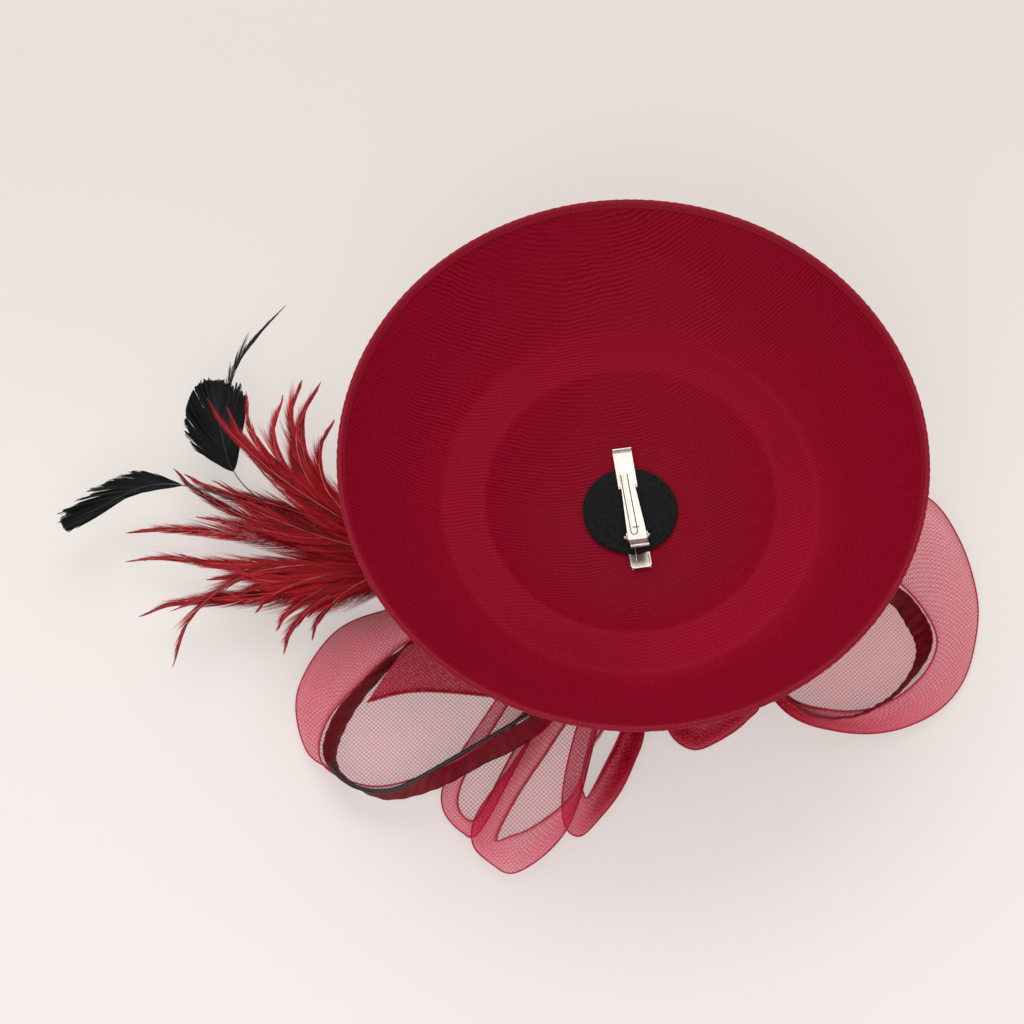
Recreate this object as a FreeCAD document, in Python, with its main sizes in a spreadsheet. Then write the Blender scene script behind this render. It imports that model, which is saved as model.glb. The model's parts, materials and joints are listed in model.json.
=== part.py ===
"""Fascinator headpiece: a fabric-covered saucer lying with its head side up on its trim.

Frame in millimetres: the origin is the centre of the felt pad's open face, which lies against the
head, +Z points out of that face, +X is the wearer's side with no feathers and -Y the side of the bows.
"""
import FreeCAD
import Part
import math
import os

import Sketcher
from FreeCAD import Placement, Rotation, Vector

DOC = FreeCAD.newDocument("fascinator")
SHEET = DOC.addObject("Spreadsheet::Sheet", "Sizes")
X_AXIS, Y_AXIS, Z_AXIS = Vector(1, 0, 0), Vector(0, 1, 0), Vector(0, 0, 1)

SIZES = {
    # saucer, measured on the fabric of the head side
    "rim_radius": 133.8,
    "brim_height": 58.7,
    "ring_radius": 87.0,
    "ring_height": 11.7,
    "crown_radius": 68.0,
    "crown_height": 14.7,
    "floor_radius": 30.0,
    "brim_curve": 190.0,
    "edge_angle": 52.0,
    "edge_length": 6.0,
    "cover_thickness": 0.5,
    "core_thickness": 1.2,
    "glue_gap": 0.1,
    # bound edge
    "wire_diameter": 1.3,
    "binding_wall": 0.8,
    "binding_width": 5.5,
    "binding_gap": 0.15,
    # felt pad
    "felt_radius": 22.4,
    "felt_thickness": 2.0,
    "slit_gap": 0.4,
    # hair clip, in its own frame: +Y to the jaw's tip, X across, pivot pin over the origin
    "clip_turn": 8.2,
    "clip_x": 2.9,
    "clip_y": -14.6,
    "steel": 0.5,
    "jaw_width": 8.9,
    "jaw_reach": 46.0,
    "head_length": 18.5,
    "step_length": 4.0,
    "lip_height": 1.8,
    "tail_reach": 15.0,
    "tray_width": 9.6,
    "tray_length": 7.5,
    "tray_rim": 1.5,
    "ear_length": 5.0,
    "ear_clearance": 0.15,
    "pin_diameter": 1.6,
    "pin_height": 2.4,
    "pin_overhang": 0.35,
    "pin_fit": 0.08,
    "prong_width": 8.7,
    "prong_tip_width": 5.2,
    "prong_reach": 42.0,
    "prong_rest_gap": 0.15,
    "lever_reach": 7.5,
    "lever_height": 8.2,
    "lever_roll": 1.7,
    "rib_width": 3.1,
    "rib_height": 0.5,
    "spring_wire": 0.5,
    "spring_turns": 6.0,
    # trim
    "table_drop": 45.0,
    "backing_radius": 42.0,
    "backing_thickness": 1.5,
    "rosette_radius": 38.0,
    "root_radius": 38.0,  # the rosette radius that the petals' root points are placed for
    "bud_radius": 9.0,
    "cup_gap": 0.6,
    "petal_thickness": 4.0,
    "ribbon_width": 14.0,
    "ribbon_width_right": 11.0,
    "ribbon_thickness": 1.0,
    "piping_diameter": 2.0,
    "soft_gap": 0.3,
    # feathers
    "feather_thickness": 0.5,
    "feather_pitch": 0.85,
    "binding_depth": 9.0,
    "root_x": -104.0,
    "root_y": -22.0,
    "root_top": -6.5,
}
for row, (alias, value) in enumerate(SIZES.items(), 1):
    SHEET.set(f"A{row}", alias)
    SHEET.set(f"B{row}", str(value))
    SHEET.setAlias(f"B{row}", alias)
DOC.recompute()


def size(alias):
    """One driving size, read back from the sheet."""
    return float(getattr(SHEET, alias))


def worked(expression):
    """The number that an expression on the sheet's sizes comes to."""
    value = SHEET.evalExpression(expression)
    return float(getattr(value, "Value", value))


def bind(feature, **bindings):
    """Ties properties of a feature to expressions on the sheet."""
    for name, expression in bindings.items():
        feature.setExpression(name.replace("__", "."), expression)
    return feature


NODES = []


def keep(thing, label):
    """Names a finished sub-part and puts it on the list of those that are written out."""
    thing.Label = label
    NODES.append(thing)
    return thing


def new_body(label):
    return keep(DOC.addObject("PartDesign::Body", label), label)


def sketch_on(body, role, name, lift=None):
    """A sketch on one of the body's own origin planes, lifted by an expression if one is given."""
    sketch = body.newObject("Sketcher::SketchObject", f"{body.Label}_{name}")
    plane = next(item for item in body.Origin.OriginFeatures if item.Role == role)
    sketch.AttachmentSupport = [(plane, "")]
    sketch.MapMode = "FlatFace"
    if lift:
        sketch.setExpression(".AttachmentOffset.Base.z", lift)
    return sketch


def through(start, end, radius):
    """The arc from start to end with this radius, bulging to the right of the way from one to the other."""
    chord = end - start
    half = chord.Length / 2
    side = Vector(chord.y, -chord.x, 0).normalize()
    sagitta = radius - math.sqrt(max(radius * radius - half * half, 0))
    return Part.Arc(start, (start + end) * 0.5 + side * sagitta, end)


def outline(sketch, corners):
    """A closed outline. Each corner is (x, y) or (x, y, radius): expressions, and the radius of an
    arc that leads from that corner to the next, negative where it bulges to the left."""
    spots = [Vector(worked(corner[0]), worked(corner[1]), 0) for corner in corners]
    count, first = len(corners), sketch.GeometryCount
    ends = []
    for i, corner in enumerate(corners):
        start, end = spots[i], spots[(i + 1) % count]
        radius = worked(corner[2]) if len(corner) == 3 else 0
        if radius > 0:
            curve = through(start, end, radius)
        elif radius < 0:
            curve = through(end, start, -radius)
        else:
            curve = Part.LineSegment(start, end)
        sketch.addGeometry(curve, False)
        drawn = sketch.Geometry[-1]
        forward = (drawn.StartPoint - start).Length < (drawn.EndPoint - start).Length
        ends.append((1, 2) if forward else (2, 1))
    for i, corner in enumerate(corners):
        here, following = first + i, first + (i + 1) % count
        joined = ends[(i + 1) % count][0]
        sketch.addConstraint(Sketcher.Constraint("Coincident", here, ends[i][1], following, joined))
        driven = [
            (Sketcher.Constraint("DistanceX", -1, 1, here, ends[i][0], spots[i].x), corner[0]),
            (Sketcher.Constraint("DistanceY", -1, 1, here, ends[i][0], spots[i].y), corner[1]),
        ]
        if len(corner) == 3:
            radius = abs(worked(corner[2]))
            driven.append((Sketcher.Constraint("Radius", here, radius), f"abs({corner[2]})"))
        for constraint, expression in driven:
            index = sketch.addConstraint(constraint)
            sketch.setExpression(f"Constraints[{index}]", expression)
    return sketch


def pad(body, sketch, length, name, both_ways=False, reverse=False):
    feature = body.newObject("PartDesign::Pad", f"{body.Label}_{name}")
    feature.Profile = sketch
    feature.Midplane = both_ways
    feature.Reversed = reverse
    bind(feature, Length=length)
    body.Tip = feature
    return feature


def pocket(body, sketch, name):
    """A cut right through the body, both ways from the sketch."""
    feature = body.newObject("PartDesign::Pocket", f"{body.Label}_{name}")
    feature.Profile = sketch
    feature.Type = "ThroughAll"
    feature.Midplane = True
    body.Tip = feature
    return feature


def revolve(body, sketch, name):
    feature = body.newObject("PartDesign::Revolution", f"{body.Label}_{name}")
    feature.Profile = sketch
    feature.ReferenceAxis = (sketch, ["V_Axis"])
    feature.Angle = 360
    body.Tip = feature
    return feature


# ---- Saucer: two fabric covers over a stiff pressed core, wired and bound at the rim ----

STACK = "(2 * Sizes.cover_thickness + Sizes.core_thickness + 2 * Sizes.glue_gap)"
FABRIC_FLOOR = "(-Sizes.felt_thickness - Sizes.glue_gap)"
HALF_STACK = f"({STACK} * cos(Sizes.edge_angle) / 2)"
HALF_CHANNEL = f"({HALF_STACK} + Sizes.binding_gap)"
HALF_BINDING = f"({HALF_CHANNEL} + Sizes.binding_wall)"
STACK_END = f"({HALF_BINDING} + Sizes.wire_diameter / 2 + Sizes.binding_gap)"


def at_rim(inward, up):
    """A point given from the rim's outer edge: inward along the brim, and up out of its fabric."""
    return (
        f"Sizes.rim_radius - ({inward}) * cos(Sizes.edge_angle) - ({up}) * sin(Sizes.edge_angle)",
        f"{FABRIC_FLOOR} + Sizes.brim_height - ({inward}) * sin(Sizes.edge_angle)"
        f" + ({up}) * cos(Sizes.edge_angle)",
    )


def saucer_line(drop, reach):
    """Corners of the saucer's section, a drop below the head side's fabric, from axis to edge."""
    floor = f"{FABRIC_FLOOR} - {drop}"
    lowered = [at_rim(f"{STACK_END} + Sizes.edge_length", "0"), at_rim(STACK_END, "0")]
    edge = [(across, f"{up} - {drop}") for across, up in lowered]
    curve = ("((Sizes.crown_radius - Sizes.floor_radius)^2 + Sizes.crown_height^2)"
             " / (2 * Sizes.crown_height)")
    line = [
        ("0", floor),
        ("Sizes.floor_radius", floor, curve),
        ("Sizes.crown_radius", f"{floor} + Sizes.crown_height"),
        ("Sizes.ring_radius", f"{floor} + Sizes.ring_height", "Sizes.brim_curve"),
        edge[0],
        edge[1],
    ]
    if reach == "rim":
        return line
    slope = "sqrt(1 - ((Sizes.backing_radius - Sizes.floor_radius) / (" + curve + "))^2)"
    rise = f"({curve}) * (1 - {slope})"
    return line[:2] + [("Sizes.backing_radius", f"{floor} + {rise}")]


def saucer_layer(label, drop, thickness, reach="rim"):
    """A shell of the saucer's shape, between a drop and that drop plus its thickness."""
    upper = saucer_line(drop, reach)
    lower = saucer_line(f"({drop} + {thickness})", reach)
    back = []
    for i in range(len(lower) - 1, -1, -1):
        arc_before = i > 0 and len(lower[i - 1]) == 3
        back.append(lower[i][:2] + ((f"-({lower[i - 1][2]})",) if arc_before else ()))
    body = new_body(label)
    profile = outline(sketch_on(body, "XZ_Plane", "section"), upper + back)
    revolve(body, profile, "shell")
    return body


saucer_layer("underside_cover", "0", "Sizes.cover_thickness")
CORE_DROP = "(Sizes.cover_thickness + Sizes.glue_gap)"
saucer_layer("saucer_core", CORE_DROP, "Sizes.core_thickness")
CROWN_DROP = f"({CORE_DROP} + Sizes.core_thickness + Sizes.glue_gap)"
saucer_layer("crown_cover", CROWN_DROP, "Sizes.cover_thickness")
BACKING_DROP = f"({CROWN_DROP} + Sizes.cover_thickness + Sizes.glue_gap)"
saucer_layer("trim_backing", BACKING_DROP, "Sizes.backing_thickness", reach="backing")


def rim_wire():
    across, up = at_rim(HALF_BINDING, f"-{HALF_STACK}")
    wire = DOC.addObject("Part::Torus", "rim_wire")
    bind(wire, Radius1=across, Radius2="Sizes.wire_diameter / 2")
    wire.setExpression(".Placement.Base.z", up)
    return keep(wire, "rim_wire")


def channel_side(half, turn):
    """Corners along one face of the bound edge, a half width from its middle: leg, bend, leg."""
    bend = f"{turn}({half})"
    return [
        at_rim("Sizes.binding_width", f"{half} - {HALF_STACK}"),
        at_rim(HALF_BINDING, f"{half} - {HALF_STACK}") + (bend,),
        at_rim(f"{HALF_BINDING} - {half}", f"-{HALF_STACK}") + (bend,),
        at_rim(HALF_BINDING, f"-{half} - {HALF_STACK}"),
        at_rim("Sizes.binding_width", f"-{half} - {HALF_STACK}"),
    ]


def rim_binding():
    """A strip of bias fabric folded over the edge: a U whose bend holds the wire."""
    body = new_body("rim_binding")
    outside = channel_side(HALF_BINDING, "-")
    inside = channel_side(HALF_CHANNEL, "+")
    inner = [inside[4], inside[3] + inside[2][2:], inside[2][:2] + inside[1][2:], inside[1][:2], inside[0]]
    revolve(body, outline(sketch_on(body, "XZ_Plane", "section"), outside + inner), "channel")
    return body


rim_wire()
rim_binding()


# ---- Felt pad and hair clip, both laid out in the clip's frame ----

SADDLE = "(-Sizes.felt_thickness)"
HEAD_LEVEL = "Sizes.glue_gap"
HEAD_START = "(Sizes.jaw_reach - Sizes.head_length)"
EAR_INSIDE = "(Sizes.prong_width / 2 + Sizes.ear_clearance)"
EAR_OUTSIDE = f"({EAR_INSIDE} + Sizes.steel)"
PIN_HOLE = "(Sizes.pin_diameter / 2 + Sizes.pin_fit)"
COIL = f"({PIN_HOLE} + Sizes.spring_wire)"
PLATE = f"(Sizes.pin_height + {COIL} + Sizes.pin_fit)"
HEAD_TOP = f"({HEAD_LEVEL} + Sizes.steel)"
PRONG_REST = f"({HEAD_TOP} + Sizes.prong_rest_gap)"
FELT_X = "(-Sizes.clip_x * cos(Sizes.clip_turn) - Sizes.clip_y * sin(Sizes.clip_turn))"
FELT_Y = "(Sizes.clip_x * sin(Sizes.clip_turn) - Sizes.clip_y * cos(Sizes.clip_turn))"


def lay_in_clip(thing):
    """Turns a piece from the clip's frame to its place on the saucer."""
    thing.Placement = Placement(Vector(0, 0, 0), Rotation(Z_AXIS, size("clip_turn")))
    thing.setExpression("Placement.Base.x", "Sizes.clip_x")
    thing.setExpression("Placement.Base.y", "Sizes.clip_y")
    thing.setExpression("Placement.Rotation.Angle", "Sizes.clip_turn")
    return thing


def disc(sketch, across, up, radius):
    """A whole circle in a sketch, its centre and radius bound to expressions."""
    centre = Vector(worked(across), worked(up), 0)
    index = sketch.addGeometry(Part.Circle(centre, Z_AXIS, worked(radius)), False)
    for kind, where, value in (("DistanceX", across, centre.x), ("DistanceY", up, centre.y)):
        place = sketch.addConstraint(Sketcher.Constraint(kind, -1, 1, index, 3, value))
        sketch.setExpression(f"Constraints[{place}]", where)
    place = sketch.addConstraint(Sketcher.Constraint("Radius", index, worked(radius)))
    sketch.setExpression(f"Constraints[{place}]", radius)
    return sketch


def box_outline(sketch, left, right, low, high):
    return outline(sketch, [(left, low), (right, low), (right, high), (left, high)])


def felt_pad():
    """The felt disc: the jaw runs under it, comes up through a slit, and two slots clear the ears."""
    body = new_body("felt_pad")
    round_ = disc(sketch_on(body, "XY_Plane", "disc", SADDLE), FELT_X, FELT_Y, "Sizes.felt_radius")
    pad(body, round_, "Sizes.felt_thickness", "felt")
    side = "(Sizes.jaw_width / 2 + Sizes.slit_gap)"
    slit = sketch_on(body, "XY_Plane", "slit")
    box_outline(slit, f"-{side}", side, f"{HEAD_START} - Sizes.step_length - Sizes.slit_gap",
                f"{HEAD_START} + Sizes.slit_gap")
    pocket(body, slit, "slit_cut")
    window = sketch_on(body, "XY_Plane", "ear_slot")
    wide = f"({EAR_OUTSIDE} + Sizes.slit_gap)"
    deep = "(Sizes.ear_length / 2 + Sizes.slit_gap)"
    box_outline(window, f"-{wide}", wide, f"-{deep}", deep)
    pocket(body, window, "ear_slot_cut")
    below, above = f"({SADDLE} - Sizes.steel)", f"({SADDLE} + Sizes.steel + Sizes.glue_gap)"
    groove = sketch_on(body, "XZ_Plane", "groove")
    box_outline(groove, f"-{side}", side, below, above)
    channel = body.newObject("PartDesign::Pocket", "felt_groove_cut")
    channel.Profile = groove
    bind(channel, Length=f"{HEAD_START} - Sizes.step_length")
    body.Tip = channel
    tail = sketch_on(body, "XZ_Plane", "tail_groove")
    across = "(Sizes.tray_width / 2 + Sizes.slit_gap)"
    box_outline(tail, f"-{across}", across, below, above)
    back = body.newObject("PartDesign::Pocket", "felt_tail_cut")
    back.Profile = tail
    back.Reversed = True
    bind(back, Length="Sizes.tail_reach")
    body.Tip = back
    return lay_in_clip(body)


def clip_base():
    """Fixed jaw: one steel strip with the pivot's ears, a head with a lip and a tray-like tail."""
    body = new_body("clip_base")
    low, top = SADDLE, f"({SADDLE} + Sizes.steel)"
    reach = "(Sizes.ear_length / 2)"
    ears = sketch_on(body, "YZ_Plane", "ears")
    outline(ears, [
        (f"-{reach}", low), (reach, low), (reach, "Sizes.pin_height", f"{reach} * 1.0001"),
        ("0", f"Sizes.pin_height + {reach}", f"{reach} * 1.0001"), (f"-{reach}", "Sizes.pin_height"),
    ])
    pad(body, ears, f"2 * {EAR_OUTSIDE}", "ear_block", both_ways=True)
    between = sketch_on(body, "XZ_Plane", "between_ears")
    box_outline(between, f"-{EAR_INSIDE}", EAR_INSIDE, top, f"Sizes.pin_height + 2 * {reach}")
    pocket(body, between, "between_ears_cut")
    bore = disc(sketch_on(body, "YZ_Plane", "bore"), "0", "Sizes.pin_height", PIN_HOLE)
    pocket(body, bore, "bore_cut")
    strip = sketch_on(body, "YZ_Plane", "strip")
    step, fold = f"({HEAD_START} - Sizes.step_length)", "Sizes.steel / 4"
    outline(strip, [
        ("-Sizes.tail_reach", low), (step, low), (HEAD_START, HEAD_LEVEL), ("Sizes.jaw_reach", HEAD_LEVEL),
        ("Sizes.jaw_reach", f"{HEAD_TOP} + Sizes.lip_height"),
        ("Sizes.jaw_reach - Sizes.steel", f"{HEAD_TOP} + Sizes.lip_height"),
        ("Sizes.jaw_reach - Sizes.steel", HEAD_TOP), (f"{HEAD_START} - {fold}", HEAD_TOP),
        (f"{step} - {fold}", top), ("-Sizes.tail_reach", top),
    ])
    pad(body, strip, "Sizes.jaw_width", "strip_pad", both_ways=True)
    rim = sketch_on(body, "XY_Plane", "tray_rim", low)
    side, inner = "(Sizes.tray_width / 2)", "(Sizes.tray_width / 2 - Sizes.steel)"
    end, inner_end = "(-Sizes.tail_reach)", "(Sizes.steel - Sizes.tail_reach)"
    mouth, corner = "(Sizes.tray_length - Sizes.tail_reach)", "(3 * Sizes.steel)"
    outline(rim, [
        (f"-{side}", mouth), (f"-{side}", f"{end} + {corner}", corner),
        (f"{corner} - {side}", end), (f"{side} - {corner}", end, corner),
        (side, f"{end} + {corner}"), (side, mouth), (inner, mouth),
        (inner, f"{inner_end} + {corner}", f"-{corner}"), (f"{inner} - {corner}", inner_end),
        (f"{corner} - {inner}", inner_end, f"-{corner}"), (f"-{inner}", f"{inner_end} + {corner}"),
        (f"-{inner}", mouth),
    ])
    pad(body, rim, "Sizes.steel + Sizes.tray_rim", "tray_rim_pad")
    return lay_in_clip(body)


def clip_prong():
    """Sprung prong: cheeks on the pin, a plate that narrows to a round tip, a rib and a rolled lever."""
    body = new_body("clip_prong")
    half = "(Sizes.prong_width / 2)"
    cheek = "(Sizes.ear_length / 2)"
    top = f"({PLATE} + Sizes.steel)"
    sides = sketch_on(body, "YZ_Plane", "cheeks")
    outline(sides, [
        (f"-{cheek}", "Sizes.pin_height", f"{cheek} * 1.0001"),
        ("0", f"Sizes.pin_height - {cheek}", f"{cheek} * 1.0001"), (cheek, "Sizes.pin_height"),
        (cheek, top), (f"-{cheek}", top),
    ])
    pad(body, sides, "Sizes.prong_width", "cheek_block", both_ways=True)
    between = sketch_on(body, "XZ_Plane", "between_cheeks")
    inside = f"({half} - Sizes.steel)"
    box_outline(between, f"-{inside}", inside, f"Sizes.pin_height - 2 * {cheek}", PLATE)
    pocket(body, between, "between_cheeks_cut")
    bore = disc(sketch_on(body, "YZ_Plane", "bore"), "0", "Sizes.pin_height", PIN_HOLE)
    pocket(body, bore, "bore_cut")
    plate = sketch_on(body, "YZ_Plane", "plate")
    rise, nose = f"({HEAD_START} - Sizes.steel)", "Sizes.prong_reach"
    lift, fold = "Sizes.steel", "Sizes.steel / 4"
    outline(plate, [
        ("-Sizes.lever_reach", "Sizes.lever_height"), (f"-{cheek}", PLATE), (cheek, PLATE),
        (rise, PRONG_REST), (nose, PRONG_REST), (nose, f"{PRONG_REST} + {lift}"),
        (f"{rise} + {fold}", f"{PRONG_REST} + {lift}"), (f"{cheek} + {fold}", top),
        (f"{fold} - {cheek}", top), (f"{fold} - Sizes.lever_reach", f"Sizes.lever_height + {lift}"),
    ])
    pad(body, plate, "Sizes.prong_width", "plate_pad", both_ways=True)
    tip = "(Sizes.prong_tip_width / 2)"
    trim = sketch_on(body, "XY_Plane", "trim")
    outline(trim, [
        (half, cheek), (f"2 * {half}", cheek), (f"2 * {half}", f"{nose} + 1"), ("0", f"{nose} + 1"),
        ("0", nose, f"-{tip}"), (tip, f"{nose} - {tip}"),
    ])
    outline(trim, [
        (f"-{half}", cheek), (f"-{tip}", f"{nose} - {tip}", f"-{tip}"), ("0", nose),
        ("0", f"{nose} + 1"), (f"-2 * {half}", f"{nose} + 1"), (f"-2 * {half}", cheek),
    ])
    pocket(body, trim, "taper_cut")
    rib = sketch_on(body, "YZ_Plane", "rib")
    level, end = f"({PRONG_REST} + {lift} / 2)", f"({nose} - 2 * {tip})"
    outline(rib, [
        (f"{cheek} + Sizes.rib_width / 2", f"{top} - {lift}"), (rise, level), (end, level),
        (end, f"{level} + {lift} / 2 + Sizes.rib_height"),
        (f"{rise} + {fold}", f"{level} + {lift} / 2 + Sizes.rib_height"),
        (f"{cheek} + Sizes.rib_width / 2", f"{top} + Sizes.rib_height"),
    ])
    pad(body, rib, "Sizes.rib_width", "rib_pad", both_ways=True)
    roll = sketch_on(body, "YZ_Plane", "roll")
    disc(roll, "-Sizes.lever_reach", f"Sizes.lever_height + {lift} / 2", "Sizes.lever_roll / 2")
    pad(body, roll, "Sizes.prong_width", "roll_pad", both_ways=True)
    return lay_in_clip(body)


def clip_pin():
    """The pivot pin, across both ears and both cheeks."""
    pin = DOC.addObject("Part::Cylinder", "clip_pin")
    length = f"2 * ({EAR_OUTSIDE} + Sizes.pin_overhang)"
    bind(pin, Radius="Sizes.pin_diameter / 2", Height=length)
    turn = Rotation(Z_AXIS, size("clip_turn")) * Rotation(Y_AXIS, 90)
    along = f"({EAR_OUTSIDE} + Sizes.pin_overhang)"
    pin.Placement = Placement(Vector(0, 0, 0), turn)
    pin.setExpression("Placement.Base.x", f"Sizes.clip_x - {along} * cos(Sizes.clip_turn)")
    pin.setExpression("Placement.Base.y", f"Sizes.clip_y - {along} * sin(Sizes.clip_turn)")
    pin.setExpression("Placement.Base.z", "Sizes.pin_height")
    return keep(pin, "clip_pin")


def clip_spring():
    """The torsion spring: a coil round the pin, one leg on the tail and one under the lever."""
    wire, turns = size("spring_wire"), size("spring_turns")
    radius, pitch = worked(PIN_HOLE) + wire / 2, wire * 1.1
    helix = Part.makeHelix(pitch, pitch * turns, radius)
    section = Part.Wire(Part.makeCircle(wire / 2, Vector(radius, 0, 0), Y_AXIS))
    coil = Part.Wire(helix.Edges).makePipeShell([section], True, True)
    coil.rotate(Vector(0, 0, 0), Y_AXIS, 90)
    coil.translate(Vector(-pitch * turns / 2, 0, size("pin_height")))
    near = wire / 2 + size("glue_gap")
    low, high = size("pin_height") - radius, size("pin_height") + radius
    cheek, lever, tail = size("ear_length") / 2, size("lever_reach"), size("tail_reach")
    slope = (size("lever_height") - worked(PLATE)) / (lever - cheek)
    floor, under = worked(SADDLE) + size("steel") + near, worked(PLATE) - near
    routes = {
        -1: [(0, low), (-lever - size("slit_gap") - near, size("slit_gap")), (-tail * 0.75, floor)],
        1: [(0, high), (-cheek, under), (-lever * 0.8, under + slope * (lever * 0.8 - cheek) - near)],
    }
    legs = []
    for side, route in routes.items():
        spots = [Vector(side * pitch * turns / 2, along, height) for along, height in route]
        for start, end in zip(spots, spots[1:]):
            way = (end - start).normalize()
            length = (end - start).Length + wire / 2
            legs.append(Part.makeCylinder(wire / 2, length, start - way * (wire / 4), way))
    spring = DOC.addObject("Part::Feature", "clip_spring")
    spring.Shape = coil.fuse(legs)
    return lay_in_clip(keep(spring, "clip_spring"))


felt_pad()
clip_base()
clip_prong()
clip_pin()
clip_spring()


# ---- Trim on the crown side: rosette, crinoline petals, ribbon loops and feathers ----

BACKING_FACE = f"({FABRIC_FLOOR} - {BACKING_DROP} - Sizes.backing_thickness)"
TABLE = "(-Sizes.table_drop)"


def rosette_cup(label, inner, outer, sink):
    """One ring of the gathered satin rosette, rounded where it presses on the table."""
    body = new_body(label)
    level, top = f"({TABLE} + {sink})", f"({BACKING_FACE} - Sizes.soft_gap)"
    swell = f"(({outer} - {inner}) / 4)"
    corners = [
        (inner, top), (outer, top), (outer, f"{level} + {swell}"), (f"{outer} - {swell}", level),
        (f"{inner} + {swell}", level), (inner, f"{level} + {swell}"),
    ]
    revolve(body, outline(sketch_on(body, "XZ_Plane", "section"), corners), "ring")
    return body


def splined(points):
    """A closed smooth curve through the points."""
    curve = Part.BSplineCurve()
    curve.interpolate(points, PeriodicFlag=True)
    return Part.Wire(curve.toShape())


def sloped_frame(azimuth, near, far, plan):
    """The frame of a petal: local X runs out at this azimuth and falls from near, at the rosette's
    edge, to far, at the farthest point of the plan. Both are heights over the table."""
    out = Vector(math.cos(math.radians(azimuth)), math.sin(math.radians(azimuth)), 0)
    reach = max(x * out.x + y * out.y for x, y in plan)
    start = size("rosette_radius")
    tilt = math.degrees(math.atan2(near - far, reach - start))
    level = near - size("table_drop") + start * math.tan(math.radians(tilt))
    return Placement(Vector(0, 0, level), Rotation(Z_AXIS, azimuth) * Rotation(Y_AXIS, tilt))


def into(frame, plan, lift=0.0):
    """Points of the frame's own plane that lie over these points of the plan."""
    along = frame.Rotation.multVec(X_AXIS)
    stretch = math.hypot(along.x, along.y)
    found = []
    for x, y in plan:
        reach = (x * along.x + y * along.y) / stretch
        found.append(Vector(reach / stretch, (along.x * y - along.y * x) / stretch, lift))
    return found


def rooted(plan):
    """The plan with its two end points, the petal's root, moved in or out with the rosette's side."""
    share = size("rosette_radius") / size("root_radius")
    ends = (plan[0], plan[-1])
    return [(x * share, y * share) if (x, y) in ends else (x, y) for x, y in plan]


def petal(label, frame, plan, opening=None):
    """A crinoline loop as one flat plate of its outline, cut to meet the rosette's side, with the
    slit between its two layers if it has one."""
    thick = size("petal_thickness")
    plate = Part.Face(splined(into(frame, rooted(plan)))).extrude(Vector(0, 0, thick))
    if opening:
        slit = Part.Face(splined(into(frame, opening, -thick)))
        plate = plate.cut(slit.extrude(Vector(0, 0, 3 * thick)))
    tall = 2 * size("table_drop")
    core = Part.makeCylinder(size("rosette_radius") + size("soft_gap"), tall, Vector(0, 0, -tall))
    core.Placement = frame.inverse() * core.Placement
    thing = DOC.addObject("Part::Feature", label)
    thing.Shape = plate.cut(core).Solids[0]
    thing.Placement = frame
    return keep(thing, label)


def beside(points, distance):
    """The points moved to the left of the path through them."""
    moved = []
    for i, point in enumerate(points):
        way = points[min(i + 1, len(points) - 1)] - points[max(i - 1, 0)]
        moved.append(point + Vector(-way.y, way.x, 0).normalize() * distance)
    return moved


def standing_band(label, frame, plan, thickness, low, height):
    """A ribbon that stands on its edge along an open smooth path over a petal."""
    middle = into(frame, plan, low)
    sides, rims = [beside(middle, hand * thickness / 2) for hand in (1, -1)], []
    for points in sides:
        curve = Part.BSplineCurve()
        curve.interpolate(points)
        rims.append(curve.toShape())
    ends = [Part.LineSegment(sides[0][i], sides[1][i]).toShape() for i in (0, -1)]
    loop = Part.Wire(Part.sortEdges(rims + ends)[0])
    thing = DOC.addObject("Part::Feature", label)
    thing.Shape = Part.Face(loop).extrude(Vector(0, 0, height))
    thing.Placement = frame
    return keep(thing, label)


CUP_GAP, BUD = "Sizes.cup_gap", "Sizes.bud_radius"
MIDDLE = f"(({BUD} + Sizes.rosette_radius) / 2)"
rosette_cup("rosette_outer", f"{MIDDLE} + {CUP_GAP}", "Sizes.rosette_radius", "2")
rosette_cup("rosette_inner", f"{BUD} + {CUP_GAP}", MIDDLE, "0")
rosette_cup("rosette_bud", "0", BUD, "3")

PETALS = {
    # name: (azimuth, height over the table at the rosette and at the tip, outline in plan)
    "petal_left": (212, 29, 0.8, [
        (-28, -24), (-80, -35), (-115, -38), (-139, -48), (-155, -75), (-151, -102), (-138, -114),
        (-119, -126), (-92, -122), (-70, -110), (-44, -86), (-20, -33)]),
    "petal_front_left": (242, 14, 0.8, [
        (-26, -22), (-62, -80), (-84, -115), (-87, -132), (-78, -144), (-70, -144), (-54, -115),
        (-37, -80), (-20, -29)]),
    "petal_front": (250, 27, 6, [
        (-8, -33), (-32, -80), (-54, -114), (-71, -138), (-73, -152), (-65, -161), (-54, -166),
        (-37, -155), (-26, -138), (-17, -105), (0, -34)]),
    "petal_front_ring": (262, 14, 0.8, [
        (-2, -34), (-22, -85), (-31, -120), (-31, -140), (-24, -146), (-15, -138), (-5, -125),
        (2, -110), (6, -98), (9, -70), (4, -34)]),
    "petal_front_right": (290, 14, 0.8, [
        (13, -32), (14, -75), (18, -95), (29, -103), (42, -98), (54, -89), (60, -78), (44, -52),
        (22, -26)]),
    "petal_right": (340, 29, 0.8, [
        (32, -8), (80, 10), (120, 26), (143, 22), (157, 2), (164, -24), (163, -45), (155, -66),
        (141, -80), (118, -90), (95, -92), (72, -86), (54, -66), (28, -24)]),
}
SLITS = {"petal_front_ring": [(-6, -84), (-13, -98), (-21, -124), (-12, -112), (-3, -95)]}
FRAMES = {name: sloped_frame(*row) for name, row in PETALS.items()}
for name, row in PETALS.items():
    petal(name, FRAMES[name], row[3], SLITS.get(name))

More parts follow.
